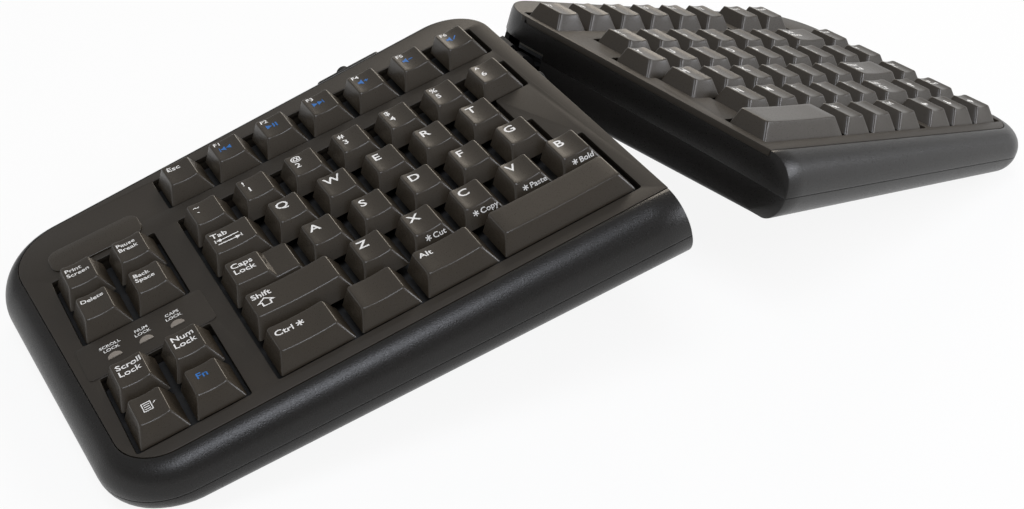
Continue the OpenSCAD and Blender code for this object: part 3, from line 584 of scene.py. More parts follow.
class Bench:
    """Turns meshes into pieces of the keyboard."""

    def __init__(self, finishes: Finishes) -> None:
        """Make every material once."""
        self.materials = {field.name: getattr(finishes, field.name).make() for field in fields(finishes)}

    def piece(self, name: str, mesh: Mesh, finish: str, body: str, slot: str,
              nodes: tuple[str, ...] = (), sharp: float = 35.0) -> None:
        """Make a mesh a piece that rides on a body.

        Args:
            name: Name of the piece.
            mesh: Mesh in the shared frame.
            finish: Name of its finish.
            body: Body that carries it.
            slot: Material slot of the record. Not used.
            nodes: Solids that it stands for.
            sharp: Angle in degrees from which an edge stays crisp.
        """
        mesh.name = name
        if not mesh.materials:
            mesh.materials.append(self.materials[finish])
        mesh.polygons.foreach_set("use_smooth", [True] * len(mesh.polygons))
        mesh.set_sharp_from_angle(angle=math.radians(sharp))
        obj = linked(name, mesh)
        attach(obj, body)
        if nodes:
            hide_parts(*nodes)
        log.info("%s: %d faces on %s", name, len(mesh.polygons), body)

    def soften(self, node: Object, finish: str, slot: str, soft: float) -> None:
        """Stand a copy of a plain solid with softened edges in its place.

        Args:
            node: Solid to copy.
            finish: Finish of the copy.
            slot: Material slot of the record. Not used.
            soft: Radius of the softened edges, in millimetres.
        """
        weld, level_to, edge_from = 1e-6, math.radians(1.0), math.radians(30.0)
        bm = bmesh.new()
        bm.from_mesh(node.data)
        bmesh.ops.remove_doubles(bm, verts=bm.verts, dist=weld)
        bmesh.ops.dissolve_limit(bm, angle_limit=level_to, verts=bm.verts, edges=bm.edges)
        obj = linked("copy", as_mesh(bm))
        bevel = obj.modifiers.new("soft", "BEVEL")
        bevel.width = soft * MM
        bevel.segments = 3
        bevel.limit_method = "ANGLE"
        bevel.angle_limit = edge_from
        self.piece(f"{node.name}_dressed", evaluated(obj), finish, node["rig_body"], slot, (node.name,))

    def coat(self, node: Object, finish: str) -> None:
        """Give a solid that stays its finish."""
        for slot in node.material_slots:
            slot.material = self.materials[finish]


def linked(name: str, data: bpy.types.ID) -> Object:
    """Put data into the scene as an object.

    Args:
        name: Name of the object.
        data: Mesh, curve, camera or lamp.

    Returns:
        The object.
    """
    obj = bpy.data.objects.new(name, data)
    bpy.context.scene.collection.objects.link(obj)
    return obj


def evaluated(obj: Object) -> Mesh:
    """Apply an object's curve settings and modifiers, and remove the object.

    Args:
        obj: Object in the scene.

    Returns:
        The mesh that it shows as.
    """
    graph = bpy.context.evaluated_depsgraph_get()
    mesh = bpy.data.meshes.new_from_object(obj.evaluated_get(graph), depsgraph=graph)
    bpy.data.batch_remove([obj, obj.data])
    return mesh


def placed(mesh: Mesh, matrix: Matrix) -> Mesh:
    """Move a mesh and keep its faces pointing outwards.

    Args:
        mesh: Mesh to move.
        matrix: Where it goes. It may mirror.

    Returns:
        The same mesh.
    """
    mesh.transform(matrix)
    if matrix.determinant() < 0:
        mesh.flip_normals()
    return mesh


def as_mesh(bm: BMesh) -> Mesh:
    """Turn an edit mesh into a mesh as it is.

    Args:
        bm: Edit mesh, which is used up.

    Returns:
        The mesh.
    """
    mesh = bpy.data.meshes.new("piece")
    bm.to_mesh(mesh)
    bm.free()
    return mesh


def mesh_of(bm: BMesh) -> Mesh:
    """Turn an edit mesh into a mesh with closed seams and outward faces.

    Args:
        bm: Edit mesh, which is used up.

    Returns:
        The mesh.
    """
    weld = 1e-4
    bmesh.ops.remove_doubles(bm, verts=bm.verts, dist=weld)
    bmesh.ops.recalc_face_normals(bm, faces=bm.faces)
    return as_mesh(bm)


def joined(meshes: list[Mesh]) -> Mesh:
    """Make one mesh of several.

    Args:
        meshes: Meshes, which are used up.

    Returns:
        The whole, with the first one's materials.
    """
    bm = bmesh.new()
    for mesh in meshes:
        bm.from_mesh(mesh)
    whole = as_mesh(bm)
    for material in meshes[0].materials:
        whole.materials.append(material)
    bpy.data.batch_remove(meshes)
    return whole


def right_end(mesh: Mesh) -> float:
    """Largest x of a mesh."""
    return max(vert.co.x for vert in mesh.vertices)


def on_arc(r: float, start: float, turn: float, steps: int) -> Ring:
    """Points of an arc about the origin, from an angle through a turn in degrees."""
    return [r * heading(start + turn * i / steps) for i in range(steps + 1)]


def circle(r: float, steps: int) -> Ring:
    """Points of a circle about the origin."""
    return on_arc(r, 0, 360, steps)[:-1]


def level(ring: Ring, z: float) -> Ring:
    """Plan points at one height."""
    return [Vector((p.x, p.y, z)) for p in ring]


def skin(bm: BMesh, rings: list[Ring], closed: bool = False, around: bool = True) -> None:
    """Join rings of equal length with quads.

    Args:
        bm: Edit mesh that takes the faces.
        rings: Rings of points.
        closed: Whether the last ring joins the first.
        around: Whether the last point of each ring joins the first.
    """
    rows = [[bm.verts.new(p) for p in ring] for ring in rings]
    for a, b in zip(rows, rows[1:] + rows[:1] if closed else rows[1:]):
        for i in range(0 if around else 1, len(a)):
            bm.faces.new((a[i - 1], a[i], b[i], b[i - 1]))


def capped(bm: BMesh, ring: Ring) -> None:
    """Close a ring with a flat face."""
    bm.faces.new([bm.verts.new(p) for p in ring])


def shut(bm: BMesh, rings: list[Ring]) -> None:
    """Join rings with quads and close both ends.

    Args:
        bm: Edit mesh that takes the faces.
        rings: Rings of points.
    """
    skin(bm, rings)
    capped(bm, rings[0][::-1])
    capped(bm, rings[-1])


def turned(profile: Loop, steps: int, hollow: bool = False) -> Mesh:
    """Turn a profile round the z axis.

    Args:
        profile: Radius and height of each point.
        steps: Number of steps round the axis.
        hollow: Whether the profile is a loop round a bore, and not a line from end to end.

    Returns:
        A closed mesh.
    """
    bm = bmesh.new()
    rings = [level(circle(r, steps), z) for r, z in profile]
    if hollow:
        skin(bm, rings, closed=True)
    else:
        shut(bm, rings)
    return mesh_of(bm)


def fillet(before: Vector, corner: Vector, after: Vector, r: float, steps: int) -> Ring:
    """Points of an arc that rounds a corner.

    Args:
        before: Point on the line into the corner.
        corner: Sharp corner.
        after: Point on the line out of it.
        r: Radius.
        steps: Number of steps along the arc.

    Returns:
        The arc's points in order.
    """
    u, v = (before - corner).normalized(), (after - corner).normalized()
    half = u.angle(v) / 2
    middle = corner + (u + v).normalized() * r / math.sin(half)
    run = r / math.tan(half)
    p, q = corner + u * run - middle, corner + v * run - middle
    start, end = (math.degrees(math.atan2(w.y, w.x)) for w in (p, q))
    return [middle + w for w in on_arc(r, start, (end - start + 540) % 360 - 180, steps)]


def rounded(corners: list[tuple[float, float, float]], steps: int = 5) -> Loop:
    """Round the corners of a loop.

    Args:
        corners: The x, y and radius of each corner.
        steps: Number of steps along each arc.

    Returns:
        The rounded loop.
    """
    points = [Vector(c[:2]) for c in corners]
    loop: Loop = []
    for i, (x, y, r) in enumerate(corners):
        after = points[(i + 1) % len(points)]
        loop += [tuple(p) for p in fillet(points[i - 1], points[i], after, r, steps)] if r else [(x, y)]
    return loop


def strip(x0: float, y0: float, x1: float, y1: float) -> Loop:
    """Upright box as a loop."""
    return [(x0, y0), (x1, y0), (x1, y1), (x0, y1)]


def tablet(x0: float, y0: float, x1: float, y1: float, r: float) -> Loop:
    """Upright box with rounded corners as a loop."""
    return rounded([(x, y, r) for x, y in strip(x0, y0, x1, y1)])


def area(loop: Loop) -> float:
    """Signed area of a loop, above zero when it runs anticlockwise."""
    return sum(a[0] * b[1] - b[0] * a[1] for a, b in zip(loop, loop[1:] + loop[:1])) / 2


def inside(p: Vector, ring: Ring) -> bool:
    """Tell whether a plan point lies inside a ring.

    Args:
        p: Plan point.
        ring: Plan points of the ring.

    Returns:
        Whether it does.
    """
    odd = False
    for a, b in zip(ring, ring[1:] + ring[:1]):
        if (a.y > p.y) != (b.y > p.y) and p.x < a.x + (b.x - a.x) * (p.y - a.y) / (b.y - a.y):
            odd = not odd
    return odd


def spread(bm: BMesh, ring: Ring, holes: list[Ring], height: Callable[[Vector], float]) -> None:
    """Fill a ring with triangles and leave its holes open.

    Args:
        bm: Edit mesh that takes the faces.
        ring: Plan points of the edge.
        holes: Plan points of the holes.
        height: Height of the sheet over a plan point.
    """
    weld = 0.01
    points: Ring = []
    edges: list[tuple[int, int]] = []
    for one in (ring, *holes):
        first = len(points)
        points += [p.to_2d() for p in one]
        edges += [(first + i, first + (i + 1) % len(one)) for i in range(len(one))]
    spots, _, faces, *_ = delaunay_2d_cdt(points, edges, [], 0, weld)
    verts = [bm.verts.new((p.x, p.y, height(p))) for p in spots]
    for face in faces:
        middle = sum((spots[i] for i in face), Vector((0, 0))) / len(face)
        if inside(middle, ring) and not any(inside(middle, hole) for hole in holes):
            bm.faces.new([verts[i] for i in face])
    for vert in verts:
        if not vert.link_faces:
            bm.verts.remove(vert)


def plate(outer: list[Loop], holes: list[Loop], low: float, high: float, bevel: float) -> Mesh:
    """Make a flat plate with softened edges.

    Args:
        outer: Outer loops.
        holes: Loops cut out of them.
        low: Underside.
        high: Top.
        bevel: Radius of the softened edges.

    Returns:
        A closed mesh.
    """
    curve = bpy.data.curves.new("plate", "CURVE")
    curve.dimensions = "2D"
    curve.fill_mode = "BOTH"
    curve.extrude = (high - low) / 2 - bevel
    curve.bevel_depth = bevel
    curve.bevel_resolution = 2
    curve.offset = -bevel
    for loops, sign in ((outer, -1), (holes, 1)):
        for loop in loops:
            points = loop if area(loop) * sign > 0 else loop[::-1]
            spline = curve.splines.new("POLY")
            spline.points.add(len(points) - 1)
            spline.use_cyclic_u = True
            for point, (x, y) in zip(spline.points, points):
                point.co = (x, y, 0.0, 1.0)
    mesh = evaluated(linked("plate", curve))
    mesh.transform(Matrix.Translation((0, 0, (high + low) / 2)))
    bm = bmesh.new()
    bm.from_mesh(mesh)
    bpy.data.meshes.remove(mesh)
    return mesh_of(bm)


def union(boxes: list[Box]) -> list[Loop]:
    """Outline the union of upright boxes.

    Args:
        boxes: Each box's left, front, right and back.

    Returns:
        Anticlockwise loops with only their corners.
    """
    xs, ys = (sorted({round(v, 3) for b in boxes for v in b[k::2]}) for k in (0, 1))
    full = set()
    for i in range(len(xs) - 1):
        for j in range(len(ys) - 1):
            x, y = (xs[i] + xs[i + 1]) / 2, (ys[j] + ys[j + 1]) / 2
            if any(b[0] < x < b[2] and b[1] < y < b[3] for b in boxes):
                full.add((i, j))
    follow = {}
    sides = (((0, -1), (0, 0), (1, 0)), ((1, 0), (1, 0), (1, 1)),
             ((0, 1), (1, 1), (0, 1)), ((-1, 0), (0, 1), (0, 0)))
    for i, j in full:
        for beside, start, end in sides:
            if (i + beside[0], j + beside[1]) not in full:
                follow[(i + start[0], j + start[1])] = (i + end[0], j + end[1])
    loops = []
    while follow:
        first, spot = next(iter(follow.items()))
        chain = [first]
        del follow[first]
        while spot != first:
            chain.append(spot)
            spot = follow.pop(spot)
        neighbours = zip(chain[-1:] + chain[:-1], chain, chain[1:] + chain[:1])
        corners = [c for a, c, b in neighbours if not (a[0] == c[0] == b[0] or a[1] == c[1] == b[1])]
        loops.append([(xs[i], ys[j]) for i, j in corners])
    return loops


@dataclass
class Cut:
    """One cut across the wall of a half, with plan points and heights.

    Attributes:
        ledge: Edge of the ledge that carries the deck.
        room: Inner face of the wall.
        seam: Edge of the deck.
        outer: Outermost point.
        way: Direction out of the case.
        drop: Height of the rounded upper edge.
        tuck: How far the underside's edge is drawn in from the outermost point.
        turn_z: Height where the wall turns in to the underside.
        top: Height of the upper edge.
        low_open: Lower end of the rim where the joint's opening cuts it, or none.
        high_open: Upper end of the base where an opening cuts it, or none.
    """

    ledge: Vector
    room: Vector
    seam: Vector
    outer: Vector
    way: Vector
    drop: float
    tuck: float
    turn_z: float
    top: float = -CASE.roll_sink
    low_open: float | None = None
    high_open: float | None = None


@dataclass
class HalfWork:
    """Work on one half.

    Attributes:
        plan: Plan of the half.
        bench: Bench that makes the pieces.
    """

    plan: HalfPlan
    bench: Bench

    def add(self, name: str, mesh: Mesh, finish: str, slot: str, nodes: tuple[str, ...] = (),
            body: str = "", sharp: float = 35.0) -> None:
        """Make a piece of a mesh in the half's flat frame, on the half's case if no body is named."""
        mesh = placed(mesh, self.plan.pose())
        self.bench.piece(name, mesh, finish, body or self.plan.body, slot, nodes, sharp)


@dataclass
class HalfCase(HalfWork):
    """Case of one half: rim, base, deck and screws.

    Attributes:
        slot: Ends of the lever's slot along the back, or none.
        slot_half: Half the height of that slot.
        back_drop: Height of the soft upper edge along the back.
        wall_drop: Height of the soft upper edge along the inner wall.
        flat_out: How far the flat underside reaches past the seam line at the front.
        flat_side: How far it reaches past the seam line at the side.
        flat_in: How far it stays from the inner wall.
        wall_tuck: Softening of the lower edge of upright walls.
        lip: Softening of small edges.
        ease: Place of the middle point of a softened edge, as a share of its radius.
        thin: Width of the upper edge below which it is square.
        gap: Open parting line.
        hole_r: Radius of the screw recesses.
        hole_deep: Their depth.
        head_low: Depth of the screw heads in them.
    """

    slot: tuple[float, float] | None = None
    slot_half: float = 5.6
    back_drop: float = 3.4
    wall_drop: float = 0.4
    flat_out: float = 4.2
    flat_side: float = 2.2
    flat_in: float = 1.0
    wall_tuck: float = 1.6
    lip: float = 0.2
    ease: float = 0.3
    thin: float = 0.05
    gap: float = 0.1
    hole_r: float = 3.2
    hole_deep: float = 2.7
    head_low: float = 0.7

    def front_cuts(self) -> list[Cut]:
        """Cut the front roll and the outer front corner.

        Returns:
            The cuts, outwards from the inner wall.
        """
        plan, front, sink, steps, cuts = self.plan, -CASE.front_reach, CASE.roll_sink, 18, []
        # Distance from the inner wall and softening of the roll's end there
        places = [(0.0, 0.5), (0.12, 0.2), (0.45, 0.0)]
        start = places[-1][0]
        places += [(start + (plan.corner_x - start) * i / steps, 0.0) for i in range(1, steps)]
        for x, soft in places:
            inner, r = max(x, CASE.inner_wall), plan.roll(x) - soft
            spots = ((inner, front + CASE.ledge), (inner, front - CASE.room_out), (x, front), (x, front - r))
            cuts.append(Cut(*map(Vector, spots), Vector((0, -1)), r, r - self.flat_out,
                            -sink - plan.roll(x), -sink - soft))
        middle, r, steps = Vector((plan.corner_x, front + CASE.bend)), CASE.roll_out, 14
        reaches = (CASE.bend - CASE.ledge, CASE.bend + CASE.room_out, CASE.bend, CASE.corner_r)
        for i, way in enumerate(on_arc(1.0, -90, 90 - CASE.side_skew, steps)):
            flat = self.flat_out + (self.flat_side - self.flat_out) * min(3 * i / steps, 1.0)
            cuts.append(Cut(*(middle + way * reach for reach in reaches), way, r, r - flat, -sink - r))
        return cuts

    def back_arcs(self) -> list[Ring]:
        """Round the outer back corner.

        Returns:
            Arcs of the ledge, room, seam and outermost lines.
        """
        plan, steps, ledge = self.plan, 18, CASE.ledge
        seam = plan.width - CASE.roll_out
        lines = ((seam - ledge, CASE.deck_back + ledge, CASE.deck_corner_r - ledge),
                 (seam + CASE.room_out, CASE.back_wall, CASE.back_corner_r - CASE.back_wall),
                 (seam, CASE.deck_back, CASE.deck_corner_r), (plan.width, 0.0, CASE.back_corner_r))
        along_side, along_back = heading(90 - CASE.side_skew), heading(180 - CASE.back_skew)
        arcs = []
        for side, inset, r in lines:
            corner = plan.back_corner(side, CASE.back_reach - inset)
            arcs.append(fillet(corner - along_side, corner, corner + along_back, r, steps))
        return arcs

    def inner_arcs(self) -> list[Ring]:
        """Round the inner back corner.

        Returns:
            Arcs of the ledge, room, seam and outermost lines.
        """
        steps, wall = 24, CASE.inner_wall
        lines = ((wall, CASE.deck_back + CASE.ledge), (wall, CASE.back_wall),
                 (0.0, CASE.deck_back), (0.0, 0.0))
        along_back = heading(-CASE.back_skew)
        arcs = []
        for x, inset in lines:
            corner = Vector((x, CASE.back_y(x) - inset))
            r = CASE.inner_corner_r - inset
            arcs.append(fillet(corner + along_back, corner, corner - Vector((0, 1)), r, steps))
        return arcs

    def cuts(self) -> list[Cut]:
        """Cut all round the half.

        Returns:
            The cuts, anticlockwise from the inner end of the front roll.
        """
        cuts, back, sides = self.front_cuts(), self.back_arcs(), 8
        last, r = cuts[-1], CASE.roll_out
        roll_turn, side_tuck = -CASE.roll_sink - r, r - self.flat_side
        for i in range(1, sides):
            starts = (last.ledge, last.room, last.seam, last.outer)
            lines = [a.lerp(arc[0], i / sides) for a, arc in zip(starts, back)]
            cuts.append(Cut(*lines, last.way, r, side_tuck, roll_turn))
        for i, lines in enumerate(zip(*back)):
            share = i / (len(back[0]) - 1)
            ease = share * share * (3 - 2 * share)
            turn_z = roll_turn + (self.plan.floor_z(lines[3]) + self.wall_tuck - roll_turn) * ease
            tuck = side_tuck + (self.wall_tuck - side_tuck) * ease
            way, drop = (lines[3] - lines[2]).normalized(), r + (self.back_drop - r) * ease
            cuts.append(Cut(*lines, way, drop, tuck, turn_z))
        return cuts + self.wall_cuts(back, self.inner_arcs())

    def wall_cuts(self, back: list[Ring], inner: list[Ring]) -> list[Cut]:
        """Cut the back, the inner back corner and the inner wall.

        Args:
            back: Arcs of the outer back corner.
            inner: Arcs of the inner back corner.

        Returns:
            The cuts in order.
        """
        plan, cuts, steps = self.plan, [], 16
        # Half the distance between the two cuts at an opening's end, as a share and in millimetres
        near, hair = 0.0003, 0.03
        # Width of the upper edge below which it has no direction
        least = 0.02
        shares = [i / steps for i in range(1, steps)]
        if self.slot:
            first, last = back[3][-1].x, inner[3][0].x
            ends = [(first - x) / (first - last) for x in self.slot]
            shares = sorted(shares + [end + s * near for end in ends for s in (-1, 1) if 0 < end < 1])
        lines = [[a[-1].lerp(b[0], s) for s in shares] + b for a, b in zip(back, inner)]
        edge = CASE.pivot_y - CASE.window_half
        for y in (70.0, 64.0, edge + hair, edge - hair, *range(50, -42, -13), -CASE.front_reach):
            for line, x in zip(lines, (CASE.inner_wall, CASE.inner_wall, 0.0, 0.0)):
                line.append(Vector((x, y)))
        lines[0][-1].y += CASE.ledge
        lines[1][-1].y -= CASE.room_out
        reach = CASE.pivot_rise - CASE.floor_t - CASE.window_play
        back_from = CASE.pivot_y + 5.0
        for ledge, room, seam, outer in zip(*lines):
            wide = (outer - seam).length
            way = (outer - room).normalized() if wide > least else Vector((-1, 0))
            top, drop = -CASE.deck_t, self.wall_drop
            if wide > self.thin:
                top, drop = -CASE.roll_sink, self.back_drop
            turn_z = plan.floor_z(outer) + self.wall_tuck
            cut = Cut(ledge, room, seam, outer, way, drop, self.wall_tuck, turn_z, top)
            if abs(outer.y - CASE.pivot_y) < CASE.window_half and outer.x < CASE.window_deep:
                cut.low_open = CASE.pivot_z + reach
                cut.high_open = plan.floor_z(room) + CASE.floor_t + CASE.window_play
            if self.slot and self.slot[1] < outer.x < self.slot[0] and outer.y > back_from:
                cut.high_open = CASE.pivot_z - CASE.lever_drop - self.slot_half
            cuts.append(cut)
        return cuts

    def rim_ring(self, cut: Cut) -> Ring:
        """Draw the closed section of the rim at a cut.

        Args:
            cut: Where to cut.

        Returns:
            The section's points.
        """
        lip, ease, steps = self.lip, self.ease, 14
        high, under = -CASE.deck_t, -CASE.deck_t - CASE.ledge_t
        low = cut.low_open if cut.low_open is not None else self.plan.parting_z(cut.outer)
        across = cut.outer - cut.seam
        wide = across.length
        soft = min(lip, wide / 3)
        flat = [(cut.room, low), (cut.room, under), (cut.ledge, under), (cut.ledge, high), (cut.seam, high),
                (cut.seam, cut.top - soft), (cut.seam + cut.way * soft * ease, cut.top - soft * ease)]
        first = math.asin(min(1.0, soft / wide)) if wide > self.thin else 0.0
        drop = min(cut.drop, cut.top - low - 2 * lip)
        for i in range(steps + 1):
            angle = first + (math.pi / 2 - first) * i / steps
            flat.append((cut.seam + across * math.sin(angle), cut.top - drop * (1 - math.cos(angle))))
        flat += [(cut.outer, low + lip), (cut.outer - cut.way * lip * ease, low + lip * ease),
                 (cut.outer - cut.way * lip, low)]
        return [Vector((p.x, p.y, z)) for p, z in flat]

    def base_ring(self, cut: Cut) -> Ring:
        """Draw the open section of the base at a cut.

        Args:
            cut: Where to cut.

        Returns:
            Points from the floor inside to the edge of the underside.
        """
        plan, lip, ease, steps = self.plan, self.lip, self.ease, 12
        top = plan.parting_z(cut.outer) - self.gap
        if cut.high_open is not None:
            top = min(top, cut.high_open)
        foot = cut.outer - cut.way * cut.tuck
        foot.x = max(foot.x, self.flat_in)
        low = plan.floor_z(foot)
        turn_z = max(min(cut.turn_z, top - 1.5 * lip), low + lip)
        flat = [(cut.room, plan.floor_z(cut.room) + CASE.floor_t), (cut.room, top),
                (cut.outer - cut.way * lip, top), (cut.outer - cut.way * lip * ease, top - lip * ease),
                (cut.outer, top - lip)]
        for i in range(steps + 1):
            angle = math.pi / 2 * i / steps
            spot = cut.outer + (foot - cut.outer) * (1 - math.cos(angle))
            flat.append((spot, turn_z + (low - turn_z) * math.sin(angle)))
        return [Vector((p.x, p.y, z)) for p, z in flat]

    def screw_places(self) -> list[Vector]:
        """Find the screws' places in the underside.

        Returns:
            Plan points.
        """
        inner_x, back_x, side_y = 14.0, 75.0, 14.0
        past_front, from_corner, from_side, from_back = 0.6, 5.0, 1.2, 3.9
        corner, front = self.plan.corner_x, -CASE.front_reach - past_front
        back = CASE.back_y(back_x) - CASE.back_wall - from_back
        side = self.plan.side_x(side_y) - from_side
        return [Vector(p) for p in ((inner_x, front), (corner / 2, front), (corner - from_corner, front),
                                    (back_x, back), (side, side_y))]

    def rim(self, extra: list[Mesh]) -> None:
        """Build the upper shell.

        Args:
            extra: What is moulded on it.
        """
        bm = bmesh.new()
        skin(bm, [self.rim_ring(cut) for cut in self.cuts()], closed=True)
        node = f"{self.plan.name}_rim"
        self.add(f"{node}_shell", joined([mesh_of(bm), *extra]), "shell", "case", (node,))

    def base(self) -> None:
        """Build the lower shell with its flat underside and screw recesses."""
        plan, steps, weld, holes = self.plan, 24, 0.02, []
        rings = [self.base_ring(cut) for cut in self.cuts()]
        bm = bmesh.new()
        skin(bm, rings, closed=True, around=False)
        for place in self.screw_places():
            hole = [place + p for p in circle(self.hole_r, steps)]
            walls = [[Vector((p.x, p.y, plan.floor_z(p) + rise)) for p in hole]
                     for rise in (0.0, self.hole_deep)]
            skin(bm, walls)
            capped(bm, walls[1])
            holes.append(hole)
        spread(bm, [ring[-1] for ring in rings], holes, plan.floor_z)
        spread(bm, [ring[0] for ring in rings], [], lambda p: plan.floor_z(p) + CASE.floor_t)
        bmesh.ops.remove_doubles(bm, verts=bm.verts, dist=weld)
        node = f"{plan.name}_base"
        self.add(f"{node}_shell", mesh_of(bm), "shell", "case", (node,))

    def deck_outline(self, gap: float) -> Loop:
        """Draw the edge of the deck.

        Args:
            gap: How far it is drawn in.

        Returns:
            The edge.
        """
        plan = self.plan
        back, front = CASE.back_reach - CASE.deck_back - gap, -CASE.front_reach + gap
        corner = plan.back_corner(plan.width - CASE.roll_out - gap, back)
        return rounded([(0.0, front, 0.0), (plan.side_x(front) - gap, front, CASE.bend - gap),
                        (corner.x, corner.y, CASE.deck_corner_r - gap),
                        (0.0, back, CASE.inner_corner_r - CASE.deck_back - gap)], steps=16)

    def wells(self, grow: float, r: float) -> list[Loop]:
        """Draw the openings for the keys.

        Args:
            grow: How far they reach past the keys' cells.
            r: Radius of their corners.

        Returns:
            The openings.
        """
        boxes, half = [], CASE.pitch / 2 + grow
        for run in self.plan.runs():
            x, y = self.plan.margin + run.start * CASE.pitch, run.row.value
            wide = len(run.legends) * run.width * CASE.pitch
            boxes.append((x - grow, y - half, x + wide + grow, y + half))
        return [rounded([(x, y, r) for x, y in loop], steps=3) for loop in union(boxes)]

    def panel(self) -> Mesh:
        """Make the low step in the deck round the status lamps, between the outer groups of keys.

        Returns:
            The step's mesh.
        """
        out, back, low, r, soft = 3.4, 0.9, 0.5, 1.6, 0.12
        first, last = (self.plan.margin + column * CASE.pitch for column in (OUTER, self.plan.columns))
        half = CASE.pitch / 2 - back
        return plate([tablet(first - out, -half, last + out, half, r)], [], -low, CASE.panel_step, soft)

    def deck(self) -> None:
        """Build the deck with the collars of its key wells."""
        play, corner_r, collar, soft = 0.3, 0.9, 1.0, 0.2
        wells = self.wells(play, corner_r)
        around = self.wells(play + collar, corner_r + collar)
        parts = [plate([self.deck_outline(CASE.seam)], wells, -CASE.deck_t, 0.0, soft),
                 plate(around, wells, -CASE.frame_depth, -CASE.deck_t / 2, soft / 2)]
        if self.slot:
            parts.append(self.panel())
        node = f"{self.plan.name}_deck"
        self.add(f"{node}_plate", joined(parts), "deck", "deck", (node,))

    def screws(self) -> None:
        """Build the screws from points on the underside."""
        plan = self.plan
        points = bpy.data.meshes.new("places")
        spots = [(p.x, p.y, plan.floor_z(p) + self.head_low) for p in self.screw_places()]
        points.from_pydata(spots, [], [])
        across, along = math.atan(2 * plan.taper), math.radians(CASE.deck_slope)
        tilt = Matrix.Rotation(-across, 4, "Y") @ Matrix.Rotation(-along, 4, "X")
        mesh = ScrewTree().fit(points, self.bench.materials["black_steel"], tuple(tilt.to_euler()))
        node = f"{plan.name}_screws"
        self.add(f"{node}_crosshead", mesh, "black_steel", "steel", (node,))

    def build(self, extra: list[Mesh]) -> None:
        """Build the case.

        Args:
            extra: What is moulded on the rim.
        """
        self.rim(extra)
        self.base()
        self.deck()
        self.screws()


class Repeater:
    """Geometry nodes that set copies of a shape on points and paint them.

    Attributes:
        tree: The nodes.
        keys: Key of each input, by its name.
        given: The inputs, as sockets to link from.
    """

    tree: NodeTree
    keys: dict[str, str]
    given: Sockets

    def open(self, name: str, sockets: dict[str, str]) -> Sockets:
        """Start the tree.

        Args:
            name: Name of the tree.
            sockets: Kind of each input, besides the points and the finish.

        Returns:
            The tree's inputs, as sockets to link from.
        """
        self.tree = bpy.data.node_groups.new(name, "GeometryNodeTree")
        kinds = {"Geometry": "Geometry", **sockets, "Finish": "Material"}
        face = self.tree.interface
        face.new_socket(name="Geometry", in_out="OUTPUT", socket_type="NodeSocketGeometry")
        made = {key: face.new_socket(name=key, in_out="INPUT", socket_type=f"NodeSocket{kind}")
                for key, kind in kinds.items()}
        self.keys = {key: socket.identifier for key, socket in made.items()}
        self.given = self.node("NodeGroupInput")
        return self.given

    def node(self, kind: str, inputs: dict | None = None, **settings: object) -> Sockets:
        """Add a node to the tree."""
        return add_node(self.tree, kind, inputs, **settings)

    def close(self, **inputs: NodeSocket) -> None:
        """Finish the tree.

        Args:
            inputs: Points, shape and turn of the copies.
        """
        many = self.node("GeometryNodeInstanceOnPoints", inputs)["Instances"]
        real = self.node("GeometryNodeRealizeInstances", {"Geometry": many})["Geometry"]
        paint = {"Geometry": real, "Material": self.given["Finish"]}
        self.node("NodeGroupOutput", {"Geometry": self.node("GeometryNodeSetMaterial", paint)["Geometry"]})

    def run(self, mesh: Mesh, values: dict[str, object]) -> Mesh:
        """Run the tree on a mesh.

        Args:
            mesh: Mesh with the points, which is used up.
            values: Values of the tree's inputs.

        Returns:
            The copies as one mesh.
        """
        obj = linked("copies", mesh)
        modifier = obj.modifiers.new("copies", "NODES")
        modifier.node_group = self.tree
        for name, value in values.items():
            modifier[self.keys[name]] = value
        return evaluated(obj)


@dataclass
class ScrewTree(Repeater):
    """Geometry nodes that set a crosshead screw on every point, with its sizes in millimetres."""

    head_r: float = 3.0
    head_h: float = 2.0
    shank_r: float = 1.2
    shank_l: float = 9.0
    shank_up: float = 0.5
    cross_w: float = 0.8
    cross_l: float = 3.4

    def moved(self, shape: NodeSocket, up: float) -> NodeSocket:
        """Move a shape up."""
        inputs = {"Geometry": shape, "Translation": (0.0, 0.0, up)}
        return self.node("GeometryNodeTransform", inputs)["Geometry"]

    def rod(self, sides: int, r: NodeSocket, long: NodeSocket) -> NodeSocket:
        """Upright cylinder about the origin."""
        return self.node("GeometryNodeMeshCylinder", {"Vertices": sides, "Radius": r, "Depth": long})["Mesh"]

    def fit(self, points: Mesh, finish: Material,
            turn: tuple[float, ...]) -> Mesh:
        """Build the screws.

        Args:
            points: Mesh with the screws' places, which is used up.
            finish: Finish of the screws.
            turn: Angles that stand the screws on the underside.

        Returns:
            The screws as one mesh.
        """
        sizes = {field.name: getattr(self, field.name) for field in fields(self)}
        given = self.open("screws", {"Turn": "Vector", **dict.fromkeys(sizes, "Float")})
        head = self.rod(32, given["head_r"], given["head_h"])
        for x, y in (("cross_l", "cross_w"), ("cross_w", "cross_l")):
            box = {"X": given[x], "Y": given[y], "Z": given["head_h"]}
            size = self.node("ShaderNodeCombineXYZ", box)["Vector"]
            bar = self.moved(self.node("GeometryNodeMeshCube", {"Size": size})["Mesh"], -self.head_h / 2)
            cut = {"Mesh 1": head, "Mesh 2": bar}
            head = self.node("GeometryNodeMeshBoolean", cut, operation="DIFFERENCE")["Mesh"]
        shank = self.rod(16, given["shank_r"], given["shank_l"])
        parts = [head, self.moved(shank, self.shank_l / 2 + self.shank_up)]
        whole = self.node("GeometryNodeJoinGeometry", {"Geometry": parts})["Geometry"]
        spots = self.node("GeometryNodeMeshToPoints", {"Mesh": given["Geometry"]})["Points"]
        self.close(Points=spots, Instance=self.moved(whole, self.head_h / 2), Rotation=given["Turn"])
        return self.run(points, {**sizes, "Turn": turn, "Finish": finish})


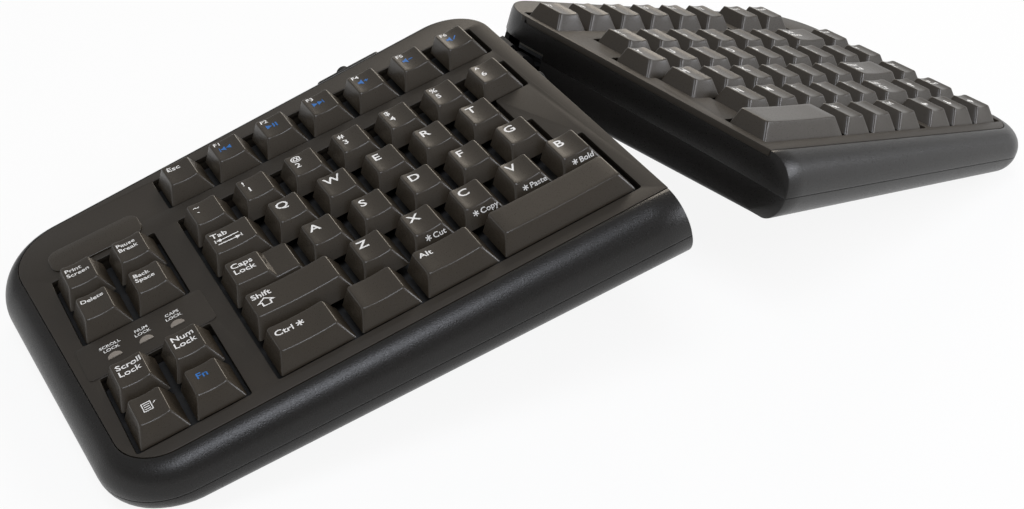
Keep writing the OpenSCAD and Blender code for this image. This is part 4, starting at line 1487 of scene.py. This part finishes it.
class RowTree(Repeater):
    """Geometry nodes that repeat a keycap along its row."""

    def __init__(self) -> None:
        """Build the tree once for every row."""
        given = self.open("key row", {"Cap": "Object", "Count": "Int", "Spacing": "Float"})
        step = self.node("ShaderNodeCombineXYZ", {"X": given["Spacing"]})["Vector"]
        line = self.node("GeometryNodeMeshLine", {"Count": given["Count"], "Offset": step})["Mesh"]
        cap = self.node("GeometryNodeObjectInfo", {"Object": given["Cap"]})["Geometry"]
        self.close(Points=line, Instance=cap)

    def row(self, cap: Mesh, count: int, spacing: float,
            finish: Material) -> Mesh:
        """Repeat a cap.

        Args:
            cap: Mesh of the cap, which is used up.
            count: Number of caps.
            spacing: Distance between caps, in millimetres.
            finish: Finish of the caps.

        Returns:
            The row's mesh, starting at the first cap's middle.
        """
        obj = linked("cap", cap)
        values = {"Cap": obj, "Count": count, "Spacing": spacing, "Finish": finish}
        mesh = self.run(bpy.data.meshes.new("row"), values)
        bpy.data.batch_remove([obj, cap])
        return mesh


@dataclass(frozen=True)
class CapShape:
    """Shape of a keycap, in millimetres, with the middle of its cell at the origin and the deck at z = 0."""

    gap: float = 2.2
    top_gap: float = 8.9
    top_depth: float = 12.6
    back_lean: float = 0.6
    rise: float = 5.3
    sink: float = 1.0
    dish: float = 0.6
    bar_width: float = 2.5
    bar_dish: float = 0.6
    edge: float = 0.45
    foot_r: float = 0.8
    foot_h: float = 0.4
    top_r: float = 1.1
    rim_r: float = 0.88
    shoulder: float = 2.4
    shoulder_dish: float = 0.35
    stem_r: float = 2.6
    stem_y: float = 1.2
    stem_end: float = 8.0
    stem_top: float = 4.3
    wall: float = 1.3
    roof: float = 0.7
    tuck: float = 0.4
    shelf: float = 2.2
    shelf_share: float = 0.43

    @property
    def foot_front(self) -> float:
        """Front edge of the foot."""
        return -self.half_foot(1.0)

    @property
    def top_front(self) -> float:
        """Front edge of the top."""
        return self.half_foot(1.0) - self.back_lean - self.top_depth

    @property
    def top_middle(self) -> float:
        """Middle of the top, front to back."""
        return self.top_front + self.top_depth / 2

    def half_foot(self, width: float) -> float:
        """Half the width of the foot."""
        return width * CASE.pitch / 2 - self.gap / 2

    def half_top(self, width: float) -> float:
        """Half the width of the top."""
        return width * CASE.pitch / 2 - self.top_gap / 2

    def dished(self, width: float) -> float:
        """Share of the finger dish that a key has, less on a space bar."""
        return 1.0 if width < self.bar_width else self.bar_dish

    def dip(self, x: float, width: float) -> float:
        """Depth of the finger dish at a distance from the middle."""
        share = min(abs(x) / self.half_top(width), 1.0)
        return self.dish * (1 - share * share)

    def sides(self, width: float, z: float, inset: float, left: float) -> Box:
        """Find the sides of the tapered cap at a height.

        Args:
            width: Width of the key, in pitches.
            z: Height.
            inset: How far the sides are drawn in.
            left: How far the left side is moved to the right.

        Returns:
            Left, front, right and back.
        """
        share = (z + self.sink) / (self.rise + self.sink)
        x = self.half_foot(width) + (self.half_top(width) - self.half_foot(width)) * share
        front = self.foot_front + (self.top_front - self.foot_front) * share
        back = self.half_foot(1.0) - self.back_lean * share
        return (-x + left + inset, front + inset, x - inset, back - inset)

    def ring(self, box: Box, r: float, z: float, width: float, dished: float) -> Ring:
        """Draw a ring of points round a rounded box.

        Args:
            box: Left, front, right and back.
            r: Corner radius.
            z: Height.
            width: Width of the key, in pitches.
            dished: Share of the dish that the ring follows.

        Returns:
            The ring's points.
        """
        turn, across, along, points = 5, 8, 10, []
        corners = [Vector(p) for p in strip(*box)]
        corners = corners[1:] + corners[:1]
        arcs = [fillet(corners[k - 1], corners[k], corners[(k + 1) % 4], r, turn) for k in range(4)]
        for arc, after, count in zip(arcs, arcs[1:] + arcs[:1], (across, along, across, along)):
            points += arc + [arc[-1].lerp(after[0], i / count) for i in range(1, count)]
        return [Vector((p.x, p.y, z - dished * self.dip(p.x, width))) for p in points]

    def body(self, bm: BMesh, width: float, rise: float, dished: float, left: float = 0.0,
             low: float | None = None) -> None:
        """Add one tapered body to a cap.

        Args:
            bm: Edit mesh that takes it.
            width: Width of the key, in pitches.
            rise: Height of its top.
            dished: Share of the dish in its top.
            left: How far the body starts from the cap's left side.
            low: Height of its closed foot, or None where it goes down to the cap's foot and is hollow.
        """
        edge, foot_r, top_r = self.edge, self.foot_r, self.top_r
        middle_r = (foot_r + top_r) / 2
        # Height, inset, corner radius and share of the dish, from the roof inside down, round and up
        levels = [(rise - self.roof - dished * self.dish, self.wall, foot_r, 0.0),
                  (-self.sink, self.wall, foot_r, 0.0), (-self.sink, 0.0, foot_r, 0.0),
                  (-self.sink + self.foot_h, 0.0, foot_r, 0.0)]
        if low is not None:
            levels = [(low, 0.0, middle_r, 0.0)]
        levels += [(rise - self.shoulder, 0.0, middle_r, self.shoulder_dish * dished),
                   (rise - edge, 0.0, top_r, dished), (rise - 0.4 * edge, 0.10 * edge, top_r, dished),
                   (rise - 0.1 * edge, 0.42 * edge, top_r, dished), (rise, edge, self.rim_r, dished)]
        rings = [self.ring(self.sides(width, z, inset, left), r, z, width, share)
                 for z, inset, r, share in levels]
        top = self.sides(width, rise, edge, left)
        middle = ((top[0] + top[2]) / 2, (top[1] + top[3]) / 2)
        for share in (0.8, 0.58, 0.36, 0.14):
            small = tuple(m + (side - m) * share for side, m in zip(top, middle * 2))
            rings.append(self.ring(small, self.rim_r * share, rise, width, dished))
        shut(bm, rings)

    def make(self, width: float, stepped: bool) -> Mesh:
        """Build a keycap.

        Args:
            width: Width of the key, in pitches.
            stepped: Whether it has a low shelf on its inner side.

        Returns:
            The cap's mesh.
        """
        bm = bmesh.new()
        if stepped:
            self.body(bm, width, self.shelf, 0.0)
            self.body(bm, width, self.rise, 1.0, self.shelf_share * CASE.pitch, self.shelf - self.tuck)
        else:
            self.body(bm, width, self.rise, self.dished(width))
        apart = (width - 1) / 2 * CASE.pitch
        for x in (-apart, apart) if width >= 2 else (0.0,):
            ring = [p + Vector((x, self.stem_y)) for p in circle(self.stem_r, 16)]
            shut(bm, [level(ring, z) for z in (-self.stem_end, self.stem_top)])
        return mesh_of(bm)


def spun(loop: Loop, degrees: float) -> Loop:
    """Turn a loop about the origin, and move it to the middle of the unit square."""
    c, s = heading(degrees)
    return [(0.5 + c * x - s * y, 0.5 + s * x + c * y) for x, y in loop]


def house(tip: float, eave: float, wide: float, stem: float, foot: float) -> Loop:
    """Upright arrow about the y axis, with its heights and half widths."""
    right = [(wide, eave), (stem, eave), (stem, foot)]
    return [(0.0, tip), *right, *((-x, y) for x, y in right[::-1])]


def pointer(degrees: float) -> Loop:
    """Plain arrow turned by an angle."""
    return spun(house(0.5, 0.06, 0.45, 0.16, -0.5), degrees)


def arrow(y: float) -> list[Loop]:
    """Arrow to the right with a bar at its tip, a unit long."""
    loop = [(along, y + out) for out, along in house(0.96, 0.76, 0.19, 0.05, 0.06)]
    return [loop, strip(0.97, y - 0.19, 1.01, y + 0.19)]


def mirrored(loops: list[Loop]) -> list[Loop]:
    """Loops turned from right to left in the unit square."""
    return [[(1 - x, y) for x, y in loop] for loop in loops]


def wedge(x: float, reach: float) -> Loop:
    """Triangle that points along x."""
    return [(x, 0.2), (x + reach, 0.5), (x, 0.8)]


def star(wide: float) -> Loop:
    """Draw six straight spokes from one middle.

    Args:
        wide: Half the width of a spoke.

    Returns:
        The star in the unit square.
    """
    loop: Loop = []
    for turn in range(30, 390, 60):
        loop += spun([(0.5, -wide), (0.5, wide)], turn) + spun([(2 * wide, 0.0)], turn + 30)
    return loop


SPEAKER = [(0.0, 0.35), (0.2, 0.35), (0.45, 0.1), (0.45, 0.9), (0.2, 0.65), (0.0, 0.65)]
MINUS = strip(0.58, 0.45, 0.98, 0.56)


class Sign(Enum):
    """Signs that aren't letters, in the unit square, as layers of loops and the holes in them."""

    STAR = (([star(0.085)], []),)
    TAB = ((mirrored(arrow(0.72)) + arrow(0.28), []),)
    SHIFT = (([spun(house(0.5, -0.02, 0.5, 0.26, -0.4), 0)],
              [spun(house(0.38, 0.06, 0.29, 0.18, -0.32), 0)]),)
    MENU = (([strip(0.0, 0.0, 0.8, 1.0)], [strip(0.08, 0.08, 0.72, 0.92)]),
            ([*(strip(0.16, y, 0.64, y + 0.08) for y in (0.7, 0.46, 0.22)),
              [(0.86, 0.5), (1.2, 0.72), (1.02, 0.74)]], []))
    BACK = (([wedge(0.55, -0.45), wedge(1.05, -0.45), strip(0.0, 0.2, 0.07, 0.8)], []),)
    PLAY = (([wedge(0.0, 0.5), strip(0.6, 0.2, 0.74, 0.8), strip(0.86, 0.2, 1.0, 0.8)], []),)
    NEXT = (([wedge(0.0, 0.45), wedge(0.5, 0.45), strip(0.98, 0.2, 1.05, 0.8)], []),)
    LOUD = (([SPEAKER, MINUS, strip(0.725, 0.58, 0.835, 0.7), strip(0.725, 0.3, 0.835, 0.43)], []),)
    SOFT = (([SPEAKER, MINUS], []),)
    MUTE = (([SPEAKER, [(0.55, 0.3), (0.63, 0.22), (1.0, 0.7), (0.92, 0.78)]], []),)
    ENTER = (([[(0.0, 0.4), (0.3, 0.7), (0.3, 0.48), (0.86, 0.48), (0.86, 0.85), (1.0, 0.85), (1.0, 0.32),
                (0.3, 0.32), (0.3, 0.1)]], []),)
    LEFT = (([pointer(90)], []),)
    RIGHT = (([pointer(-90)], []),)
    UP = (([pointer(0)], []),)
    DOWN = (([pointer(180)], []),)


@dataclass(frozen=True)
class Printer:
    """Prints legends on keycaps and on the deck, in millimetres.

    Attributes:
        shape: Shape of the keycaps.
        thick: Thickness of the ink.
        float_up: How far the ink's middle lies over the surface.
        cap_share: Height of a capital as a share of the font's size.
        weight: Extra weight of the strokes.
        stretch: Extra width of the letters.
        start: Distance from the top's left side to where legends start.
        front_star: Size of the star before a word on the front.
        front_gap: Distance from the star's left side to the word.
        front_shift: How far such a print lies to the right of the middle.
        front_share: Height of such a print, as a share of the front's.
    """

    shape: CapShape
    thick: float = 0.05
    float_up: float = 0.02
    cap_share: float = 0.7
    weight: float = 0.02
    stretch: float = 1.12
    start: float = 1.35
    front_star: float = 2.1
    front_gap: float = 2.7
    front_shift: float = 1.2
    front_share: float = 0.5

    def words(self, text: str, height: float) -> Mesh:
        """Make a line of text as a flat solid.

        Args:
            text: What it says.
            height: Height of a capital.

        Returns:
            The print, with the start of its baseline at the origin.
        """
        curve = bpy.data.curves.new("words", "FONT")
        curve.body = text
        curve.size = height / self.cap_share
        curve.offset = self.weight * height
        curve.extrude = self.thick / 2
        curve.resolution_u = 3
        return placed(evaluated(linked("words", curve)), Matrix.Diagonal((self.stretch, 1, 1, 1)))

    def sign(self, sign: Sign, height: float, widen: float = 1.0) -> Mesh:
        """Make a sign as a flat solid.

        Args:
            sign: Which sign.
            height: Height of its square.
            widen: Width of its square as a share of the height.

        Returns:
            The print, with its lower left corner at the origin.
        """
        half = self.thick / 2
        mesh = joined([plate(loops, holes, -half, half, 0.0) for loops, holes in sign.value])
        return placed(mesh, Matrix.Diagonal((height * widen, height, 1, 1)))

    def legend(self, run: KeyRun, text: str) -> list[tuple[Ink, Mesh]]:
        """Print a key's legend on a cap at the origin.

        Args:
            run: Run that the key stands in.
            text: Words and signs of the legend.

        Returns:
            Ink and mesh of each print, as a reader sees them.
        """
        prints, end = [], 0.0
        start = -self.shape.half_top(run.width) + self.start
        for spot, part in zip(run.layout.value, text.split()):
            if spot.front:
                mesh = self.on_front(part, spot.height)
            else:
                is_sign = part.islower()
                mesh = (self.sign(Sign[part.upper()], spot.height, spot.widen) if is_sign
                        else self.words(part, spot.height))
                right = (end if spot.after else start) + spot.right
                end = right + right_end(mesh)
                mesh = self.on_top(mesh, right, spot.back, run.width)
            prints.append((spot.ink, mesh))
        return prints

    def on_top(self, mesh: Mesh, right: float, back: float, width: float) -> Mesh:
        """Lay a print on a cap's dished top.

        Args:
            mesh: Print to lay.
            right: Distance to the right of the top's middle.
            back: Distance to the back of it.
            width: Width of the key, in pitches.

        Returns:
            The print in place.
        """
        shape, dished = self.shape, self.shape.dished(width)
        placed(mesh, Matrix.Translation((right, back + shape.top_middle, shape.rise + self.float_up)))
        for vert in mesh.vertices:
            vert.co.z -= dished * shape.dip(vert.co.x, width)
        return mesh

    def on_front(self, text: str, height: float) -> Mesh:
        """Print a star and a word on a cap's sloping front.

        Args:
            text: The word.
            height: Height of a capital.

        Returns:
            The print in place.
        """
        shape, share, over = self.shape, self.front_share, 0.03
        word = placed(self.words(text, height), Matrix.Translation((self.front_gap, 0, 0)))
        mesh = joined([self.sign(Sign.STAR, self.front_star), word])
        deep, high = shape.top_front - shape.foot_front, shape.rise + shape.sink
        x = self.front_shift - right_end(mesh) / 2
        lean = Matrix.Rotation(math.atan2(high, deep), 4, "X") @ Matrix.Translation((0, 0, over))
        place = (x, shape.foot_front + deep * share, high * share - shape.sink)
        return placed(mesh, Matrix.Translation(place) @ lean)


@dataclass
class KeyField(HalfWork):
    """Keycaps and legends of one half.

    Attributes:
        printer: Printer of the legends.
        rows: Nodes that repeat the caps.
    """

    printer: Printer
    rows: RowTree

    def build(self) -> None:
        """Build every key node's caps and its legends."""
        for node, runs in self.plan.groups.items():
            self.caps(node, runs)
            self.legends(node, runs)

    def caps(self, node: str, runs: tuple[KeyRun, ...]) -> None:
        """Build the caps of a node.

        Args:
            node: Name of the node.
            runs: Its keys.
        """
        meshes, finish = [], self.bench.materials["key"]
        for run in runs:
            cap = self.printer.shape.make(run.width, node == "caps_lock_key")
            row = self.rows.row(cap, len(run.legends), run.width * CASE.pitch, finish)
            meshes.append(placed(row, Matrix.Translation((self.plan.key_x(run, 0), run.row.value, 0))))
        self.add(f"{node}_caps", joined(meshes), "key", "key", (node,), body=node, sharp=50.0)

    def legends(self, node: str, runs: tuple[KeyRun, ...]) -> None:
        """Print the legends of a node, one piece for each ink.

        Args:
            node: Name of the node.
            runs: Its keys.
        """
        inked: dict[Ink, list[Mesh]] = {ink: [] for ink in Ink}
        flip = Matrix.Diagonal((self.plan.side, 1, 1, 1))
        for run in runs:
            for i, text in enumerate(run.legends):
                spot = Matrix.Translation((self.plan.key_x(run, i), run.row.value, 0))
                for ink, mesh in self.printer.legend(run, text):
                    inked[ink].append(placed(mesh, spot @ flip))
        for ink, meshes in inked.items():
            if meshes:
                self.add(f"{node}_{ink.value}_print", joined(meshes), f"{ink.value}_ink", "light", body=node)


@dataclass
class Fittings(HalfWork):
    """Small pieces on the left half: lever, gland, label, lamps and stop, in millimetres."""

    printer: Printer
    lever_x: float = 26.0
    lever_w: float = 18.0
    lever_play: float = 1.0
    cam_r: float = 5.0
    cam_throw: float = 1.2
    gland_x: float = 53.0
    gland_z: float = -8.9
    gland_r: float = 3.2
    gland_bore: float = 2.2
    gland_in: float = 4.0
    gland_out: float = 7.5
    boss_out: float = 2.5
    stop_r: float = 3.5
    stop_out: float = 2.6
    stop_in: float = 3.4
    stop_z: float = -6.2
    lamp_r: float = 2.5
    lamp_y: float = -3.1
    lamp_column: float = 0.45
    lamp_step: float = 0.58
    lamp_text: float = 1.3
    label: tuple[float, float, float] = (34.0, 12.0, 0.7)

    @property
    def slot(self) -> tuple[float, float]:
        """Ends of the lever's slot along the back."""
        half = self.lever_w / 2 + self.lever_play
        return (self.lever_x + half, self.lever_x - half)

    def at_back(self, x: float, z: float) -> Matrix:
        """Stand a frame on the back wall.

        Args:
            x: Place along the wall.
            z: Height.

        Returns:
            Frame with x along the wall, y up and z out of it.
        """
        frame = Matrix.Translation((x, CASE.back_y(x), z))
        for degrees, axis in ((-CASE.back_skew, "Z"), (-90, "X"), (180, "Z")):
            frame = frame @ Matrix.Rotation(math.radians(degrees), 4, axis)
        return frame

    def boss(self) -> Mesh:
        """Make the raised block on the back wall that the cable gland sits in.

        Returns:
            Its mesh, in the flat frame.
        """
        half, low, high, r, sunk, soft = 14.0, -2.9, 6.9, 1.6, 0.6, 0.5
        mesh = plate([tablet(-half, low, half, high, r)], [], -sunk, self.boss_out, soft)
        return placed(mesh, self.at_back(self.gland_x, self.gland_z))

    def gland(self) -> None:
        """Ribbed rubber grommet where the cable would leave."""
        bore, out, r = self.gland_bore, self.boss_out, self.gland_r
        flange, inner, end = r + 1.2, -self.gland_in, out + self.gland_out
        profile = [(bore, end), (bore, inner), (flange, inner), (flange, inner + 1.6), (r, inner + 1.6),
                   (r, out), (r + 1.0, out), (flange, out + 0.3), (flange, out + 1.6), (r + 0.9, out + 2.0)]
        ribs, first, step, thinner = 4, 2.2, 1.3, 0.25
        for i in range(ribs):
            low, wide = out + first + i * step, r + 0.5 - thinner * i
            profile += [(wide, low), (wide, low + 0.7), (wide - 0.6, low + 0.8), (wide - 0.6, low + 1.2)]
        profile.append((r - 0.4, end))
        mesh = placed(turned(profile, 36, hollow=True), self.at_back(self.gland_x, self.gland_z))
        self.add("cable_gland_grommet", mesh, "rubber", "rubber", ("cable_gland",))

    def stop(self) -> None:
        """Rubber stop on the inner wall."""
        r, out, flat_r = self.stop_r, self.stop_out, 1.2
        profile = [(r, 0.0), (r, out - 0.9), (r - 0.25, out - 0.4), (r - 0.9, out - 0.05), (flat_r, out)]
        place = (0, Row.NUMBER.value - self.stop_in, self.stop_z)
        frame = Matrix.Translation(place) @ Matrix.Rotation(-math.pi / 2, 4, "Y")
        self.add("inner_stop_button", placed(turned(profile, 40), frame), "rubber", "rubber", ("inner_stop",))

    def label_plate(self) -> None:
        """Bare label plate behind the outer keys."""
        wide, deep, high = self.label
        behind, r, sunk, soft = 3.2, 4.0, 0.3, 0.25
        x = self.plan.margin + (OUTER + self.plan.columns) / 2 * CASE.pitch
        front = Row.NUMBER.value + CASE.pitch / 2 + behind
        loop = tablet(x - wide / 2, front, x + wide / 2, front + deep, r)
        self.add("label_plate_blank", plate([loop], [], -sunk, high, soft), "key", "case", ("label_plate",))

    def lamps(self) -> None:
        """Half-moon status windows and the words beside them."""
        moons, words, steps = [], [], 20
        sunk, high, soft, above, line_step = 1.2, 0.6, 0.25, 3.6, 2.1
        print_z = CASE.panel_step + self.printer.float_up
        for i, name in enumerate(("CAPS", "NUM", "SCROLL")):
            x = self.plan.margin + (OUTER + self.lamp_column + i * self.lamp_step) * CASE.pitch
            moon = [(x + p.x, self.lamp_y + p.y) for p in on_arc(self.lamp_r, 0, 180, steps)]
            moons.append(plate([moon], [], -sunk, high, soft))
            for line, text in enumerate((name, "LOCK")):
                mesh = self.printer.words(text, self.lamp_text)
                centre = Matrix.Translation((-right_end(mesh) / 2, 0, 0))
                y = self.lamp_y + self.lamp_r + above - line_step * line
                flip = Matrix.Diagonal((self.plan.side, 1, 1, 1))
                words.append(placed(mesh, Matrix.Translation((x, y, print_z)) @ flip @ centre))
        self.add("status_windows_moons", joined(moons), "light", "light", ("status_windows",))
        self.add("status_words_print", joined(words), "white_ink", "light")

    def lever(self) -> None:
        """Lock lever with a finger grip at the back."""
        half, soft = self.lever_w / 2, 0.5
        cam = [(p.x - self.cam_throw, p.y) for p in on_arc(self.cam_r, 60, 240, 24)]
        grip = [(3.4, -1.0), (6.6, -1.0), (7.0, -0.6), (7.0, 12.6), (6.4, 13.5), (4.2, 13.5), (3.4, 12.8),
                (3.4, 3.5)]
        place = (self.lever_x, CASE.back_y(self.lever_x) - CASE.lever_in, CASE.pivot_z - CASE.lever_drop)
        sideways = Matrix(((0, 0, 1), (1, 0, 0), (0, 1, 0))).to_4x4()
        mesh = placed(plate([cam + grip], [], -half, half, soft), Matrix.Translation(place) @ sideways)
        self.add("lock_lever_handle", mesh, "shell", "case", ("lock_lever",), body="lock_lever")

    def build(self) -> None:
        """Build all but the block, which belongs to the rim."""
        for make in (self.lever, self.gland, self.stop, self.label_plate, self.lamps):
            make()


@dataclass(frozen=True)
class Studio:
    """Camera, lamps, floor and backdrop.

    Attributes:
        eye: Place of the camera, in metres.
        ahead: Direction that it looks in.
        right: Direction of the picture's right side.
        lens: Focal length on the sensor.
        sensor: Width of the sensor, in millimetres.
        fill: Light of the walls as a share of how bright they show.
        ceiling: Light of the ceiling as a share of the walls'.
        fade: Heights between which the walls fade into the ceiling.
        floor_share: Share of the floor that glows.
        floor_reach: Half the width of the floor, in metres.
    """

    eye: tuple[float, float, float] = (-0.31208, -0.38710, 0.32603)
    ahead: tuple[float, float, float] = (0.4949, 0.6693, -0.5541)
    right: tuple[float, float, float] = (0.8156, -0.5777, 0.0307)
    lens: float = 53.367
    sensor: float = 36.0
    fill: float = 0.45
    ceiling: float = 0.36
    fade: tuple[float, float] = (0.02, 0.38)
    floor_share: float = 0.90
    floor_reach: float = 3.0

    def camera(self) -> None:
        """Set the camera at the photograph's place."""
        data = bpy.data.cameras.new("camera")
        data.lens = self.lens
        data.sensor_width = self.sensor
        data.clip_start = 0.01
        obj = linked("camera", data)
        ahead = Vector(self.ahead).normalized()
        right = (Vector(self.right) - ahead * Vector(self.right).dot(ahead)).normalized()
        turn = Matrix((right, right.cross(ahead), -ahead)).transposed().to_4x4()
        obj.matrix_world = Matrix.Translation(self.eye) @ turn
        bpy.context.scene.camera = obj

    def lamp(self, name: str, place: tuple[float, float, float], size: tuple[float, float], power: float,
             colour: str) -> None:
        """Hang a soft box that faces the keyboard.

        Args:
            name: Name of the lamp.
            place: Where it hangs, in metres.
            size: Width and height, in metres.
            power: Power in watts.
            colour: Colour of its light.
        """
        data = bpy.data.lights.new(name, "AREA")
        data.shape = "RECTANGLE"
        data.size, data.size_y = size
        data.energy = power
        data.color = linear(colour)[:3]
        turn = (-Vector(place)).to_track_quat("-Z", "Y").to_matrix().to_4x4()
        linked(name, data).matrix_world = Matrix.Translation(place) @ turn

    @staticmethod
    def maths(tree: NodeTree, operation: str, first: object, second: object) -> NodeSocket:
        """Value worked out from two others."""
        return add_node(tree, "ShaderNodeMath", {0: first, 1: second}, operation=operation)[0]

    def shown(self, tree: NodeTree) -> NodeSocket:
        """Tell the rays that show the background to the eye, straight or in a reflection.

        Args:
            tree: Tree that takes the nodes.

        Returns:
            A value that is 1 for these rays.
        """
        path = add_node(tree, "ShaderNodeLightPath")
        seen = self.maths(tree, "MAXIMUM", path["Is Camera Ray"], path["Is Glossy Ray"])
        return self.maths(tree, "MAXIMUM", seen, path["Is Transmission Ray"])

    def backdrop(self) -> None:
        """White walls that light the scene less than they show, under a dark ceiling."""
        world = bpy.data.worlds.new("studio")
        world.use_nodes = True
        tree, white = world.node_tree, 1.0
        share = {"Value": self.shown(tree), "To Min": self.fill, "To Max": white}
        seen = add_node(tree, "ShaderNodeMapRange", share)["Result"]
        way = add_node(tree, "ShaderNodeTexCoord")["Generated"]
        rise = add_node(tree, "ShaderNodeSeparateXYZ", {"Vector": way})["Z"]
        dark = {"Value": rise, "From Min": self.fade[0], "From Max": self.fade[1], "To Min": white,
                "To Max": self.ceiling}
        fade = add_node(tree, "ShaderNodeMapRange", dark, interpolation_type="SMOOTHSTEP")["Result"]
        eye = add_node(tree, "ShaderNodeLightPath")["Is Camera Ray"]
        strength = self.maths(tree, "MAXIMUM", self.maths(tree, "MULTIPLY", seen, fade), eye)
        wire(tree, tree.nodes["Background"], {"Color": linear("#ffffff"), "Strength": strength})
        bpy.context.scene.world = world

    def floor(self) -> None:
        """Pale floor that keeps the keyboard's shadow."""
        mesh = bpy.data.meshes.new("floor")
        corners = strip(-self.floor_reach, -self.floor_reach, self.floor_reach, self.floor_reach)
        mesh.from_pydata([(x, y, 0.0) for x, y in corners], [], [range(4)])
        # Matte paper that shows nearly white to the eye and still takes a shadow
        material, tree, shader = new_material("paper sweep")
        wire(tree, shader, {"Base Color": linear("#f4f4f2"), "Roughness": 0.9})
        glow = add_node(tree, "ShaderNodeEmission", {"Color": linear("#ffffff"), "Strength": 1.0})["Emission"]
        share = self.maths(tree, "MULTIPLY", self.shown(tree), self.floor_share)
        both = {0: share, 1: shader.outputs["BSDF"], 2: glow}
        surface = add_node(tree, "ShaderNodeMixShader", both)["Shader"]
        wire(tree, tree.nodes["Material Output"], {"Surface": surface})
        mesh.materials.append(material)
        linked("floor", mesh)

    def build(self) -> None:
        """Set up everything around the keyboard."""
        bpy.context.scene.view_settings.view_transform = "Standard"
        self.camera()
        self.backdrop()
        self.floor()
        self.lamp("front box", (0.95, -0.70, 0.70), (0.9, 0.5), 11.0, "#f6f8ff")
        self.lamp("top box", (-0.42, -0.25, 1.20), (0.6, 0.6), 8.5, "#f1f5ff")
        self.lamp("side box", (0.75, 0.95, 0.70), (0.6, 0.5), 6.0, "#fff3e2")


KEPT = {
    "carrier": ("left_key_frame", "right_key_frame"),
    "silicone": ("left_domes", "right_domes"),
    "film": ("left_membrane", "right_membrane"),
    "board": ("controller_board",),
    "zinc": ("left_back_plate", "right_back_plate", "lever_pin"),
    "black_steel": ("hinge_socket", "hinge_ball", "hinge_yoke", "clamp_plunger"),
}


def main() -> None:
    """Build the keyboard round its solids."""
    logging.basicConfig(level=logging.INFO, format="%(message)s")
    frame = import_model()
    nodes = frame["nodes"]
    Studio().build()
    bench = Bench(Finishes())
    printer = Printer(CapShape())
    rows = RowTree()
    fittings = Fittings(LEFT, bench, printer)
    foot_soft = 0.8
    left, right = HalfCase(LEFT, bench, fittings.slot), HalfCase(RIGHT, bench)
    for case, extra in ((left, [fittings.boss()]), (right, [])):
        case.build(extra)
        bench.soften(nodes[f"{case.plan.name}_feet"], "rubber", "rubber", foot_soft)
        KeyField(case.plan, bench, printer, rows).build()
    fittings.build()
    for finish, names in KEPT.items():
        for name in names:
            bench.coat(nodes[name], finish)


if __name__ == "__main__":
    main()
